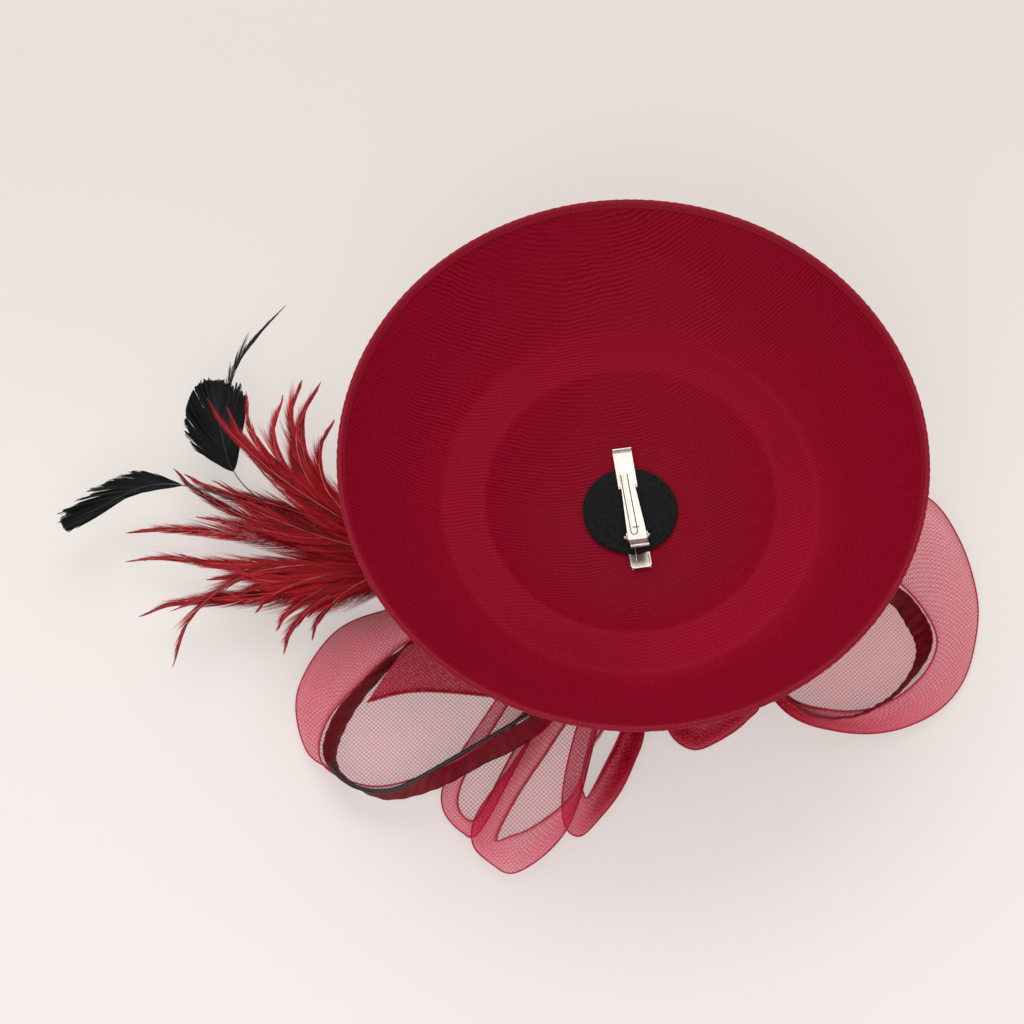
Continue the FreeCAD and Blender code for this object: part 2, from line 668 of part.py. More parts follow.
ABOVE_PETAL = size("petal_thickness") + size("soft_gap")
BAND, RIBBON = size("ribbon_thickness"), size("ribbon_width")
standing_band("ribbon_loop_left", FRAMES["petal_left"], [
    (-40, -82), (-80, -107), (-106, -119), (-124, -120), (-134, -110), (-135, -97), (-128, -82),
    (-108, -64), (-74, -48), (-42, -38)], BAND, ABOVE_PETAL, RIBBON)
PIPING = size("piping_diameter")
standing_band("ribbon_piping", FRAMES["petal_left"], [
    (-40, -82), (-80, -107), (-106, -119), (-124, -120)],
    PIPING, ABOVE_PETAL + RIBBON + size("soft_gap"), PIPING)
standing_band("ribbon_loop_right", FRAMES["petal_right"], [
    (44, -16), (90, -8), (126, -16), (142, -33), (144, -50), (136, -66), (120, -79), (96, -84),
    (72, -76), (46, -38)], BAND, ABOVE_PETAL, size("ribbon_width_right"))


def feather_binding():
    """The bound stems of the feathers, from the rosette's edge to where the feathers part."""
    deep = (len(FEATHERS) + 1) * size("feather_pitch")
    wide, gap = size("binding_depth"), size("soft_gap")
    corner = abs(size("root_y")) - wide / 2
    start = -math.sqrt((size("rosette_radius") + gap) ** 2 - corner ** 2)
    end = size("root_x") + 2 * gap
    stems = DOC.addObject("Part::Box", "feather_binding")
    stems.Length, stems.Width, stems.Height = start - end, wide, deep
    stems.Placement.Base = Vector(end, size("root_y") - wide / 2, size("root_top") - deep)
    return keep(stems, "feather_binding")


def feather(label, layer, tip, bow, width):
    """A flat blade that leaves the binding on its own layer. Its quill is a shallow parabola that
    bows to the left by this share of its length, and each layer droops a little more than the last."""
    root = Vector(size("root_x"), size("root_y"), size("root_top") - (layer + 1) * size("feather_pitch"))
    droop = FIRST_DROOP + layer * DROOP_STEP
    end = Vector((tip[0] - root.x) / math.cos(math.radians(droop)), tip[1] - root.y, 0)
    side = Vector(-end.y, end.x, 0).normalize()

    def edge(share, half):
        return end * share + side * (4 * bow * end.Length * share * (1 - share) + half)

    stem = size("feather_thickness") * 0.8
    rims = []
    for hand in (1, -1):
        rim = Part.BSplineCurve()
        rim.interpolate([edge(0, hand * stem), edge(0.35, hand * width * 0.42),
                         edge(0.7, hand * width * 0.5), end])
        rims.append(rim.toShape())
    base = Part.LineSegment(edge(0, stem), edge(0, -stem)).toShape()
    blade = Part.Face(Part.Wire(Part.sortEdges(rims + [base])[0]))
    thing = DOC.addObject("Part::Feature", label)
    thing.Shape = blade.extrude(Vector(0, 0, size("feather_thickness")))
    thing.Placement = Placement(root, Rotation(Y_AXIS, -droop))
    return keep(thing, label)


# name, tip in plan, bow, width; from the layer next to the saucer down to the one next to the table
FIRST_DROOP, DROOP_STEP = -2.0, 0.4
FEATHERS = [
    ("red_hackle_01", (-147, -62), -0.10, 8), ("red_hackle_02", (-139, 51), 0.08, 7),
    ("red_hackle_03", (-160, -68), -0.10, 8), ("red_hackle_04", (-151, 62), 0.08, 8),
    ("red_hackle_05", (-164, -56), -0.08, 8), ("red_hackle_06", (-148, 74), 0.08, 8),
    ("red_hackle_07", (-174, -46), -0.06, 9), ("red_hackle_08", (-155, 76), 0.06, 8),
    ("red_hackle_09", (-185, -20), 0.04, 10), ("red_hackle_10", (-164, 69), 0.06, 9),
    ("red_hackle_11", (-211, -68), -0.12, 9), ("red_hackle_12", (-197, 24), -0.05, 12),
    ("red_hackle_13", (-214, -41), 0.04, 12), ("red_hackle_14", (-207, 31), -0.04, 12),
    ("red_hackle_15", (-229, -41), 0.03, 12), ("red_hackle_16", (-216, 35), 0.03, 12),
    ("red_hackle_17", (-212, -9), -0.03, 12), ("red_hackle_18", (-237, -10), -0.03, 12),
    ("red_hackle_19", (-240, 6), -0.04, 12), ("black_feather_long", (-269, 7), -0.14, 10),
    ("black_feather_round", (-201, 81), 0.06, 30), ("black_feather_slim", (-165, 121), 0.10, 7),
]
feather_binding()
for order, (name, tip, bow, width) in enumerate(FEATHERS):
    feather(name, order, tip, bow, width)


# ---- Check and write ----

DOC.recompute()
for thing in DOC.Objects:
    if "Invalid" in thing.State or "Error" in thing.State:
        raise RuntimeError(f"{thing.Label}: {thing.State}")
os.makedirs("parts", exist_ok=True)
for thing in NODES:
    if thing.Shape.isNull() or not thing.Shape.isValid():
        raise RuntimeError(f"{thing.Label} has no valid shape")
    thing.Shape.exportStep(f"parts/{thing.Label}.step")
    print(f"{thing.Label:20s} {thing.Shape.Volume / 1000:8.3f} cm3, {len(thing.Shape.Solids)} solid")
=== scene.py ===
import json

import bpy
import numpy as np
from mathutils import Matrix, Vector

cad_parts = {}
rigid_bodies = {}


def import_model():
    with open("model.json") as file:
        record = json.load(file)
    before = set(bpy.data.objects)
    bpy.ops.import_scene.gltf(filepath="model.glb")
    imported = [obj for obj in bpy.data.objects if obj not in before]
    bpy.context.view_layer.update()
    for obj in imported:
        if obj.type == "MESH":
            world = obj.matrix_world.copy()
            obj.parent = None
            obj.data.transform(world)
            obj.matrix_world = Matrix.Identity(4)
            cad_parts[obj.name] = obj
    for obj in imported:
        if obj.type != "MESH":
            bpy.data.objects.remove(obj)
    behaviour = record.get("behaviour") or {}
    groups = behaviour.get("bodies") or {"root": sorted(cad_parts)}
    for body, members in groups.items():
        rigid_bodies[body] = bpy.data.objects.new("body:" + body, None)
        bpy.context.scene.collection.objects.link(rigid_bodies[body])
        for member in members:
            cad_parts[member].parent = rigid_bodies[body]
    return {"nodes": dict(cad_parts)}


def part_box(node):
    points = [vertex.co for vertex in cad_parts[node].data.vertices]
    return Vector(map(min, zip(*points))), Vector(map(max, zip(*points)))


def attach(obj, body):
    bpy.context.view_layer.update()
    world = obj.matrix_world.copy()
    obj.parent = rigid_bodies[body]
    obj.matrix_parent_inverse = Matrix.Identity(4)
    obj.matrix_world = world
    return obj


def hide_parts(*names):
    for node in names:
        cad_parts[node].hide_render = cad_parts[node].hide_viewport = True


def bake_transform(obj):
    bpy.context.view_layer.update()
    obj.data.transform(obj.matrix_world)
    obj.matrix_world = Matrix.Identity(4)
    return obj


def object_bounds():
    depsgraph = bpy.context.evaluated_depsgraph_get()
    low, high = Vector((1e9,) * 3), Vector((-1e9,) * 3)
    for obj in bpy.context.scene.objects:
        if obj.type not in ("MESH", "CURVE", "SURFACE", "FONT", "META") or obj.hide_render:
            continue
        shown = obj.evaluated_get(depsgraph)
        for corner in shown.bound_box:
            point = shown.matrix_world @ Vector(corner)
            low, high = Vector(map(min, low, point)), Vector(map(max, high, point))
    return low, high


for leftover in list(bpy.data.objects):
    bpy.data.objects.remove(leftover)
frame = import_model()
CAD_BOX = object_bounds()
MM = 0.001
HEADPIECE, PRONG = "headpiece", "prong"


# ---- The table, the daylight and the camera ----
# A pale matt table top under a broad soft skylight, with the headpiece lying on its trim. The
# camera is a long portrait lens that looks down on it from the front.

class Link:
    """A socket of a material's nodes. Sums on links add Math nodes, and make adds any other node."""

    def __init__(self, tree, socket=None):
        self.tree, self.socket = tree, socket

    def make(self, kind, settings=None, inputs=None, out=0):
        node = self.tree.nodes.new("ShaderNode" + kind)
        for name, value in (settings or {}).items():
            if name == "stops":
                ramp = node.color_ramp.elements
                while len(ramp) < len(value):
                    ramp.new(0.5)
                for stop, (place, colour) in zip(ramp, value):
                    stop.position, stop.color = place, (*colour, 1)
            else:
                setattr(node, name, value)
        for name, value in (inputs or {}).items():
            if isinstance(value, Link):
                self.tree.links.new(value.socket, node.inputs[name])
            else:
                node.inputs[name].default_value = value
        return Link(self.tree, node.outputs[out])

    def sum_of(self, operation, *terms):
        return self.make("Math", {"operation": operation}, dict(enumerate(terms)))

    def __add__(self, other): return self.sum_of("ADD", self, other)
    def __radd__(self, other): return self.sum_of("ADD", other, self)
    def __sub__(self, other): return self.sum_of("SUBTRACT", self, other)
    def __rsub__(self, other): return self.sum_of("SUBTRACT", other, self)
    def __mul__(self, other): return self.sum_of("MULTIPLY", self, other)
    def __rmul__(self, other): return self.sum_of("MULTIPLY", other, self)
    def __truediv__(self, other): return self.sum_of("DIVIDE", self, other)
    def __pow__(self, other): return self.sum_of("POWER", self, other)


def srgb(red, green, blue):
    """A display colour of 0 to 255 a channel, as the linear colour that nodes take."""
    share = np.array([red, green, blue]) / 255
    return tuple(np.where(share <= 0.04045, share / 12.92, ((share + 0.055) / 1.055) ** 2.4))


def new_finish(name, **constants):
    """A material, its shader with these sockets set, and the Link its own nodes start from."""
    made = bpy.data.materials.new(name)
    made.use_nodes = True
    shader = made.node_tree.nodes["Principled BSDF"]
    for socket, value in constants.items():
        value = (*value, 1) if isinstance(value, tuple) and len(value) == 3 else value
        shader.inputs[socket.replace("_", " ")].default_value = value
    return made, shader, Link(made.node_tree)


def drive(link, shader, socket):
    link.tree.links.new(link.socket, shader.inputs[socket])


def ramp(link, *stops):
    return link.make("ValToRGB", {"stops": stops}, {"Fac": link})


def eased(link, low, high, to_low=0.0, to_high=1.0):
    """A value carried smoothly from one range to another and held at its ends."""
    return link.make("MapRange", {"interpolation_type": "SMOOTHSTEP"},
                     {"Value": link, "From Min": low, "From Max": high, "To Min": to_low, "To Max": to_high})


def noise(link, where, scale, detail=2.0, roughness=0.5):
    return link.make("TexNoise", None, {"Vector": where, "Scale": scale, "Detail": detail,
                                        "Roughness": roughness})


def mixed(link, share, first, second):
    """One colour changing into another by a link or a number."""
    first, second = [side if isinstance(side, Link) else (*side, 1) for side in (first, second)]
    return link.make("Mix", {"data_type": "RGBA"}, {0: share, 6: first, 7: second}, out=2)


def bumped(link, height, distance, strength=1.0):
    return link.make("Bump", None, {"Height": height, "Distance": distance, "Strength": strength})


FLOOR_Z = CAD_BOX[0][2] - 0.2 * MM
FLOOR_SIDE = 12.0
floor_mesh = bpy.data.meshes.new("table")
corners = np.array([[-1, -1, 0], [1, -1, 0], [1, 1, 0], [-1, 1, 0]]) * FLOOR_SIDE
floor_mesh.from_pydata((corners + [0, 0, FLOOR_Z]).tolist(), [], [(0, 1, 2, 3)])
table = bpy.data.objects.new("table", floor_mesh)
bpy.context.collection.objects.link(table)
paper, paper_shader, nodes = new_finish("table_paper", Roughness=0.9, Specular_IOR_Level=0.1)
place = nodes.make("TexCoord", out=3)
up = nodes.make("SeparateXYZ", None, {0: place}, out=1)
# painted shade: the paper is coloured darker towards the back of the table, standing in for the light
# falling off there
paper_tone_with_painted_falloff = ramp(eased(up, -0.25, 0.30), (0.0, srgb(247, 242, 240)), (0.5, srgb(244, 239, 235)),
                  (1.0, srgb(232, 226, 220)))
drive(paper_tone_with_painted_falloff, paper_shader, "Base Color")
FLOOR_GLOW = 0.46
glow = nodes.make("Emission", None, {"Color": paper_tone_with_painted_falloff})
lit = nodes.make("MixShader", None, {0: nodes.make("LightPath") * FLOOR_GLOW,
                                     1: Link(paper.node_tree, paper_shader.outputs[0]), 2: glow})
paper.node_tree.links.new(lit.socket, paper.node_tree.nodes["Material Output"].inputs["Surface"])
floor_mesh.materials.append(paper)

sky = bpy.data.worlds.new("daylight")
bpy.context.scene.world = sky
sky.use_nodes = True
SKY_LIGHT = 0.70
sky_nodes = Link(sky.node_tree)
seen = sky_nodes.make("LightPath")
glossy = sky_nodes.make("LightPath", out=3)
through_glass = sky_nodes.make("LightPath", out=6)
direct = sky_nodes.sum_of("MAXIMUM", seen, sky_nodes.sum_of("MAXIMUM", glossy * 0.50, through_glass))
backdrop = sky.node_tree.nodes["Background"]
backdrop.inputs["Color"].default_value = (*srgb(243, 238, 234), 1)
sky.node_tree.links.new((SKY_LIGHT + direct * (1 - SKY_LIGHT)).socket, backdrop.inputs["Strength"])


def soft_lamp(name, place, aim, side, power, colour=(1, 1, 1)):
    lamp = bpy.data.lights.new(name, "AREA")
    lamp.shape, lamp.size, lamp.energy, lamp.color = "DISK", side, power, colour
    held = bpy.data.objects.new(name, lamp)
    held.location = place
    held.rotation_euler = (Vector(aim) - Vector(place)).to_track_quat("-Z", "Y").to_euler()
    bpy.context.collection.objects.link(held)


soft_lamp("window_light", (-0.15, 1.1, 1.6), (0, 0, 0), 1.7, 12, (1.0, 0.99, 0.98))
soft_lamp("front_fill", (-0.3, -1.6, 1.8), (0, 0, 0), 1.6, 14)

view = bpy.data.cameras.new("portrait")
view.lens, view.sensor_width, view.clip_end = 150, 36, 20
camera = bpy.data.objects.new("portrait", view)
ELEVATION, LOOK, AWAY = np.radians(64.3), Vector((-0.055, -0.001, 0)), 1.985
back = Vector((0, -np.cos(ELEVATION), np.sin(ELEVATION)))
camera.location = LOOK + back * AWAY
camera.rotation_euler = (-back).to_track_quat("-Z", "Y").to_euler()
bpy.context.collection.objects.link(camera)
bpy.context.scene.camera = camera
bpy.context.scene.view_settings.view_transform = "Standard"


# ---- The saucer: pressed core and two satin covers ----
# A board core pressed to a shallow dish with a sunken crown, covered on both sides with ribbed
# satin. The covers are stretched over it and glued, so all three layers follow one profile.

def spread_along(points, count):
    """The points' polyline walked at an even pace: count points, evenly spaced along it."""
    walked = np.concatenate([[0], np.cumsum(np.linalg.norm(np.diff(points, axis=0), axis=1))])
    wanted = np.linspace(0, walked[-1], count)
    return np.stack([np.interp(wanted, walked, points[:, axis]) for axis in range(points.shape[1])], axis=1)


def arc_between(start, end, radius, count=60):
    """An arc of this radius that hangs below the chord from start to end."""
    start, end = np.array(start, float), np.array(end, float)
    chord = end - start
    half = np.linalg.norm(chord) / 2
    side = np.array([-chord[1], chord[0]]) / (2 * half)
    centre = (start + end) / 2 + side * np.sqrt(radius ** 2 - half ** 2)
    first, last = [np.arctan2(*(point - centre)[::-1]) for point in (start, end)]
    turn = np.linspace(first, last, count)
    return centre + radius * np.stack([np.cos(turn), np.sin(turn)], axis=1)


def grid_faces(rows, columns, closed=False):
    """Quads between neighbouring points of a grid, joined round its columns if it is closed."""
    across = columns if closed else columns - 1
    row, column = np.meshgrid(np.arange(rows - 1), np.arange(across), indexing="ij")
    following = (column + 1) % columns
    quads = np.stack([row * columns + column, row * columns + following,
                      (row + 1) * columns + following, (row + 1) * columns + column], axis=-1)
    return quads.reshape(-1, 4)


def new_piece(name, points, faces, finish, body=HEADPIECE, cloth=None, shade=None):
    """A piece from arrays: its points, its quads and, for each point, its place in the flat cloth
    in metres and a shade from 0 to 1. It rides on its body, if it has one."""
    mesh = bpy.data.meshes.new(name)
    points, faces = np.asarray(points, float).reshape(-1, 3), np.asarray(faces, np.int32)
    mesh.vertices.add(len(points))
    mesh.vertices.foreach_set("co", points.ravel())
    mesh.loops.add(faces.size)
    mesh.loops.foreach_set("vertex_index", faces.ravel())
    mesh.polygons.add(len(faces))
    mesh.polygons.foreach_set("loop_start", np.arange(0, faces.size, faces.shape[1], dtype=np.int32))
    mesh.polygons.foreach_set("use_smooth", np.ones(len(faces), bool))
    mesh.update(calc_edges=True)
    if cloth is not None:
        layer = mesh.uv_layers.new(name="cloth")
        layer.data.foreach_set("uv", np.asarray(cloth, float).reshape(-1, 2)[faces.ravel()].ravel())
    if shade is not None:
        layer = mesh.attributes.new("shade", "FLOAT", "POINT")
        layer.data.foreach_set("value", np.asarray(shade, np.float32).ravel())
    mesh.materials.append(finish)
    piece = bpy.data.objects.new(name, mesh)
    bpy.context.collection.objects.link(piece)
    if body:
        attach(piece, body)
    return piece


def spun(line, count):
    """Points of a profile turned about Z: its radius and height at evenly spaced angles."""
    angle = np.linspace(0, 2 * np.pi, count, endpoint=False)
    radius, height = line[:, 0:1], line[:, 1:2]
    return np.stack([radius * np.cos(angle), radius * np.sin(angle), height + 0 * angle], axis=-1)


def saucer_profile():
    """Radius and height of the head side's cloth: a flat floor, an arc up to the crown's edge, a
    ring that falls a little, a bowl-like arc up the brim and a short straight slope. It is averaged
    over a few millimetres, which rounds its creases."""
    floor, crown, ring = (30, -2.1), (68, 12.6), (87, 9.6)
    slope_start, slope_end = (128.6, 49.9), (132.3, 54.7)
    line = np.concatenate([[(0, -2.1)], arc_between(floor, crown, 56.5), [ring],
                           arc_between(ring, slope_start, 190), [slope_end]]) * MM
    line = spread_along(line, 520)
    window = np.hanning(27)[1:-1]
    reach = len(window) // 2
    padded_line = np.concatenate([line[:1] - (line[reach:0:-1] - line[:1]) * [1, -1], line,
                                  2 * line[-1] - line[-2:-reach - 2:-1]])
    rounded = np.stack([np.convolve(padded_line[:, axis], window / window.sum(), "valid")
                        for axis in (0, 1)], axis=1)
    rounded[0] = (0.02 * MM, line[0, 1])
    return rounded[::3]


SATIN_LIGHT, SATIN_DARK = srgb(163, 12, 46), srgb(110, 0, 20)
RIB_PITCH = 1.75 * MM


def satin_finish(name):
    """Ribbed satin. Its ribs run level on one side, slant up to the other, wander a little and fade towards
    the front, and their tone is a painted shade, darker between them. The ring round the crown is lighter, a
    painted highlight, and the sunken crown is darker, a painted shade."""
    made, shader, nodes = new_finish(name, Specular_IOR_Level=0.06, Sheen_Weight=0.05, Sheen_Roughness=0.4,
                                     Sheen_Tint=srgb(235, 60, 90))
    place = nodes.make("TexCoord", out=3)
    x = nodes.make("SeparateXYZ", None, {0: place}, out=0)
    y = nodes.make("SeparateXYZ", None, {0: place}, out=1)
    wander = (noise(nodes, place, 28, 3, 0.6) - 0.5) * 0.007
    lean = (x + nodes.sum_of("SQRT", x * x + 0.0016)) * 0.26
    rib = nodes.sum_of("SINE", (y - lean + wander) * (2 * np.pi / RIB_PITCH))
    patch = eased(noise(nodes, place, 36, 2), 0.40, 0.62)
    weave = noise(nodes, place, 2600, 2)
    fleck = noise(nodes, place, 900, 3, 0.7)
    strength = (0.35 + 0.65 * patch) * (eased(y, -0.100, -0.045) * 0.8 + 0.2)
    height = rib * strength * 0.42 + weave * 0.35 + fleck * 0.55
    drive(bumped(nodes, height, 0.16 * MM, 0.9), shader, "Normal")
    radius = nodes.sum_of("SQRT", x * x + y * y)
    ring = eased(radius, 0.061, 0.074) * (1 - eased(radius, 0.082, 0.101))
    # painted highlight: the ring is lighter in patches, most of all towards the front right
    ring_painted_highlight = ring * eased(y - x, -0.06, -0.11, 0.3, 1)
    # painted shade: the sunken crown is coloured darker
    crown = 1 - eased(radius, 0.045, 0.068)
    # painted shade: the tone follows the ribs, darker in the grooves between them
    tone = 0.50 + rib * strength * 0.22 + (fleck - 0.5) * 0.85 + (weave - 0.5) * 0.4
    tone = tone + ring_painted_highlight * (0.14 + patch * 0.10) - crown * 0.10
    drive(ramp(tone, (0.15, SATIN_DARK), (0.85, SATIN_LIGHT)), shader, "Base Color")
    drive(0.55 + (fleck - 0.5) * 0.3, shader, "Roughness")
    return made


def flecked_finish(name, fleck, dark, light, gloss=None, **constants):
    """A finish whose colour goes from dark to light with a fine noise of this scale and detail. Its
    roughness is gloss's first number plus its last one times a noise of its middle one's scale."""
    made, shader, nodes = new_finish(name, **constants)
    place = nodes.make("TexCoord", out=3)
    drive(ramp(noise(nodes, place, *fleck), dark, light), shader, "Base Color")
    if gloss:
        least, scale, spread = gloss
        drive(least + noise(nodes, place, scale) * spread, shader, "Roughness")
    return made


under_satin = satin_finish("underside_satin")
crown_satin = satin_finish("crown_satin")
core_board = flecked_finish("core_board", (500, 3), (0.3, srgb(150, 60, 70)), (0.7, srgb(176, 96, 100)),
                            Roughness=0.9)
ROUND = 360
HEAD_SIDE = saucer_profile()


def layer(name, node, drop, thick, finish, reach=None):
    """A closed shell of the saucer's own shape, this far under the head side, from the middle to
    its reach: the profile's upper line, and back along its lower one."""
    line = HEAD_SIDE if reach is None else HEAD_SIDE[HEAD_SIDE[:, 0] <= reach]
    upper, lower = line - [0, drop], line - [0, drop + thick]
    points = spun(np.concatenate([upper, lower[::-1]]), ROUND)
    piece = new_piece(name, points, grid_faces(len(points), ROUND, closed=True)[:, ::-1], finish)
    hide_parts(node)
    return piece


COVER = 0.45 * MM
under_cloth = layer("underside_cloth", "underside_cover", 0, COVER, under_satin)
core = layer("core", "saucer_core", 0.6 * MM, 1.2 * MM, core_board)
crown_cloth = layer("crown_cloth", "crown_cover", 1.9 * MM, COVER, crown_satin)


# ---- The wired edge ----
# A millinery wire inside the rim, under a bias strip of satin folded over it from both sides and
# stitched round. The strip is a little full, so it puckers finely.

wire_metal, wire_shader, nodes = new_finish("rim_wire_steel", Metallic=1.0)
place = nodes.make("TexCoord", out=3)
drive(0.35 + noise(nodes, place, 900) * 0.2, wire_shader, "Roughness")
wire_shader.inputs["Base Color"].default_value = (*srgb(160, 160, 162), 1)
wire_node = frame["nodes"]["rim_wire"]
wire_node.data.materials.clear()
wire_node.data.materials.append(wire_metal)

WIRE_LOW, WIRE_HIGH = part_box("rim_wire")
WIRE_RADIUS = (WIRE_HIGH.z - WIRE_LOW.z) / 2
wire_centre = np.array([WIRE_HIGH.x - WIRE_RADIUS, (WIRE_HIGH.z + WIRE_LOW.z) / 2])
BEAD, HEM, STRIP, EDGE_TILT = 1.30 * MM, 1.25 * MM, 2.6 * MM, np.radians(52)
STRIP_ROUND, AROUND = 40, 900
edge_way = np.array([np.cos(EDGE_TILT), np.sin(EDGE_TILT)])
edge_side = np.array([edge_way[1], -edge_way[0]])
swing = np.radians(np.linspace(90, -90, 13))[:, None]
bead_round = wire_centre + BEAD * (np.cos(swing) * edge_way - np.sin(swing) * edge_side)
hem_bow = np.cos(swing) * edge_way * 0.6 - np.sin(swing) * edge_side
hem_round = wire_centre - STRIP * edge_way - HEM * hem_bow
outline = np.concatenate([bead_round, hem_round, bead_round[:1]])
binding_line = spread_along(outline, STRIP_ROUND + 1)[:-1]
ring_points = spun(binding_line, AROUND)
turn = np.linspace(0, 2 * np.pi, AROUND, endpoint=False)
pucker = 1 + 0.0006 * (np.sin(turn * 210 + 2 * np.sin(turn * 9)) + 0.6 * np.sin(turn * 143 + 1.7))
ring_points[..., :2] *= np.where(np.arange(STRIP_ROUND)[:, None] < len(swing), pucker, 1)[..., None]
bias_satin, bias_shader, nodes = new_finish("bias_satin", Specular_IOR_Level=0.12, Sheen_Weight=0.06,
                                            Sheen_Tint=srgb(235, 90, 110))
place = nodes.make("TexCoord", out=3)
grain = noise(nodes, place, 1400, 3, 0.6)
long_way = nodes.make("UVMap", {"uv_map": "cloth"})
along = nodes.make("SeparateXYZ", None, {0: long_way}, out=0)
fold = nodes.sum_of("SINE", along * (2 * np.pi / (2.3 * MM)) + noise(nodes, place, 60) * 9)
# painted shade: the tone dips a little in each fold of the strip and rises on it
tone = grain * 0.7 + fold * 0.04 + 0.15
drive(ramp(tone, (0.2, srgb(114, 4, 26)), (0.8, srgb(160, 22, 50))), bias_shader, "Base Color")
drive(0.42 + (grain - 0.5) * 0.3, bias_shader, "Roughness")
drive(bumped(nodes, grain * 0.5 + fold * 0.25, 0.15 * MM, 0.7), bias_shader, "Normal")
along = np.broadcast_to(turn * WIRE_HIGH.x, (STRIP_ROUND, AROUND))
across = np.broadcast_to(np.arange(STRIP_ROUND)[:, None] * 0.3 * MM, (STRIP_ROUND, AROUND))
faces = grid_faces(STRIP_ROUND + 1, AROUND, closed=True) % (STRIP_ROUND * AROUND)
binding = new_piece("edge_strip", ring_points, faces, bias_satin, cloth=np.stack([along, across], axis=-1))
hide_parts("rim_binding")


# ---- The felt pad ----
# A disc of black wool felt, glued in the middle of the head side and cut by hand, so its edge
# wavers. The clip hides the slits it is held by, so they aren't cut here.

felt, felt_shader, nodes = new_finish("black_felt", Specular_IOR_Level=0.08, Sheen_Weight=0.15,
                                      Sheen_Roughness=0.6, Sheen_Tint=srgb(120, 122, 125))
place = nodes.make("TexCoord", out=3)
hair = noise(nodes, place, 1700, 4, 0.75)
tuft = noise(nodes, place, 420, 3, 0.6)
drive(ramp(hair * 0.6 + tuft * 0.4, (0.35, srgb(12, 13, 14)), (0.68, srgb(40, 41, 43))),
      felt_shader, "Base Color")
drive(0.8 + hair * 0.2, felt_shader, "Roughness")
drive(bumped(nodes, hair + tuft, 0.4 * MM, 1.0), felt_shader, "Normal")
PAD_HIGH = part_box("felt_pad")[1]
PAD_TOP, PAD_UNDER = PAD_HIGH.z / MM, -2.0
PAD_ROWS, PAD_ROUND = 90, 200
pad_line = np.array([(0.02, PAD_TOP), (6, PAD_TOP), (14, PAD_TOP), (20, PAD_TOP), (21.6, -0.05),
                     (22.15, -0.35), (22.4, -0.9), (22.3, -1.6), (22.0, PAD_UNDER), (0.02, PAD_UNDER)]) * MM
pad_points = spun(spread_along(pad_line, PAD_ROWS), PAD_ROUND)
turn = np.linspace(0, 2 * np.pi, PAD_ROUND, endpoint=False)
waver = 1 + 0.006 * np.sin(3 * turn + 1) + 0.005 * np.sin(7 * turn) + 0.003 * np.sin(19 * turn + 2)
share = np.clip(np.linalg.norm(pad_points[..., :2], axis=-1) / PAD_HIGH.x, 0, 1) ** 4
pad_points[..., :2] *= (1 + (waver - 1.012) * share)[..., None]
pad = new_piece("felt_disc", pad_points, grid_faces(PAD_ROWS, PAD_ROUND, closed=True)[:, ::-1], felt)
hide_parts("felt_pad")


# ---- The hair clip ----
# A single-prong clip of bright plated sheet steel, held to the pad by its jaw. Jaw, prong and pin
# are the carried-over ones. The prong's tongue has a pressed bead round it, the pin's ends are
# rolled over, and one bent wire is the spring.

def smooth_path(points, count):
    """An open Catmull-Rom curve through the points, with the same share of its values for each."""
    points = np.asarray(points, float)
    around = np.concatenate([2 * points[:1] - points[1:2], points, 2 * points[-1:] - points[-2:-1]])
    step = np.linspace(0, len(points) - 1, count)
    first = np.minimum(step.astype(int), len(points) - 2)
    share = (step - first)[:, None]
    before, start, end, after = [around[first + shift] for shift in range(4)]
    return (start + share * (end - before) / 2 + share ** 2 * (before - 2.5 * start + 2 * end - after / 2)
            + share ** 3 * (1.5 * (start - end) + (after - before) / 2))


def tube(path, radius, sides=8, level=(0, 0, 1.0)):
    """A round tube on a path: a circle in the plane across the path's way at each point, counted
    from a direction that the path never takes. Its ends shrink to a point."""
    way = np.gradient(path, axis=0)
    way /= np.linalg.norm(way, axis=1, keepdims=True)
    side = np.cross(way, level)
    side /= np.linalg.norm(side, axis=1, keepdims=True)
    lift = np.cross(side, way)
    turn = np.linspace(0, 2 * np.pi, sides, endpoint=False)[None, :, None]
    radius = np.broadcast_to(radius, len(path)).copy()[:, None, None]
    rings = path[:, None] + radius * (side[:, None] * np.cos(turn) + lift[:, None] * np.sin(turn))
    rings = np.concatenate([path[None, :1].repeat(sides, 1), rings, path[None, -1:].repeat(sides, 1)])
    return rings, grid_faces(len(rings), sides, closed=True)[:, ::-1]


PRONG_TURN = np.radians(8.2)
plate, plate_shader, nodes = new_finish("bright_plate", Metallic=1.0, Specular_IOR_Level=0.5)
place = nodes.make("TexCoord", out=3)
brushed = nodes.make("Mapping", None, {"Vector": place, "Rotation": (0, 0, PRONG_TURN),
                                       "Scale": (1, 0.08, 1)})
scuff = noise(nodes, brushed, 2600, 3, 0.6)
spot = noise(nodes, place, 300, 4, 0.6)
drive(0.20 + scuff * 0.14 + spot * 0.10, plate_shader, "Roughness")
drive(ramp(spot, (0.3, srgb(178, 172, 166)), (0.7, srgb(206, 200, 194))), plate_shader, "Base Color")
drive(bumped(nodes, scuff * 0.4 + spot, 0.08 * MM, 0.35), plate_shader, "Normal")
for name in ("clip_base", "clip_prong", "clip_pin"):
    steel = frame["nodes"][name].data.materials
    steel.clear()
    steel.append(plate)

PRONG_WAY = np.array([-np.sin(PRONG_TURN), np.cos(PRONG_TURN)])
PRONG_SIDE = np.array([PRONG_WAY[1], -PRONG_WAY[0]])
prong_node = frame["nodes"]["clip_prong"]


def laid_on_prong(plan):
    """The plan's points at the height of the prong's top below them."""
    heights = []
    for x, y in plan * MM:
        hit, spot, _, _ = prong_node.ray_cast(Vector((x, y, 0.1)), Vector((0, 0, -1)))
        heights.append(spot.z if hit else np.nan)
    return np.concatenate([plan * MM, np.array(heights)[:, None]], axis=1)


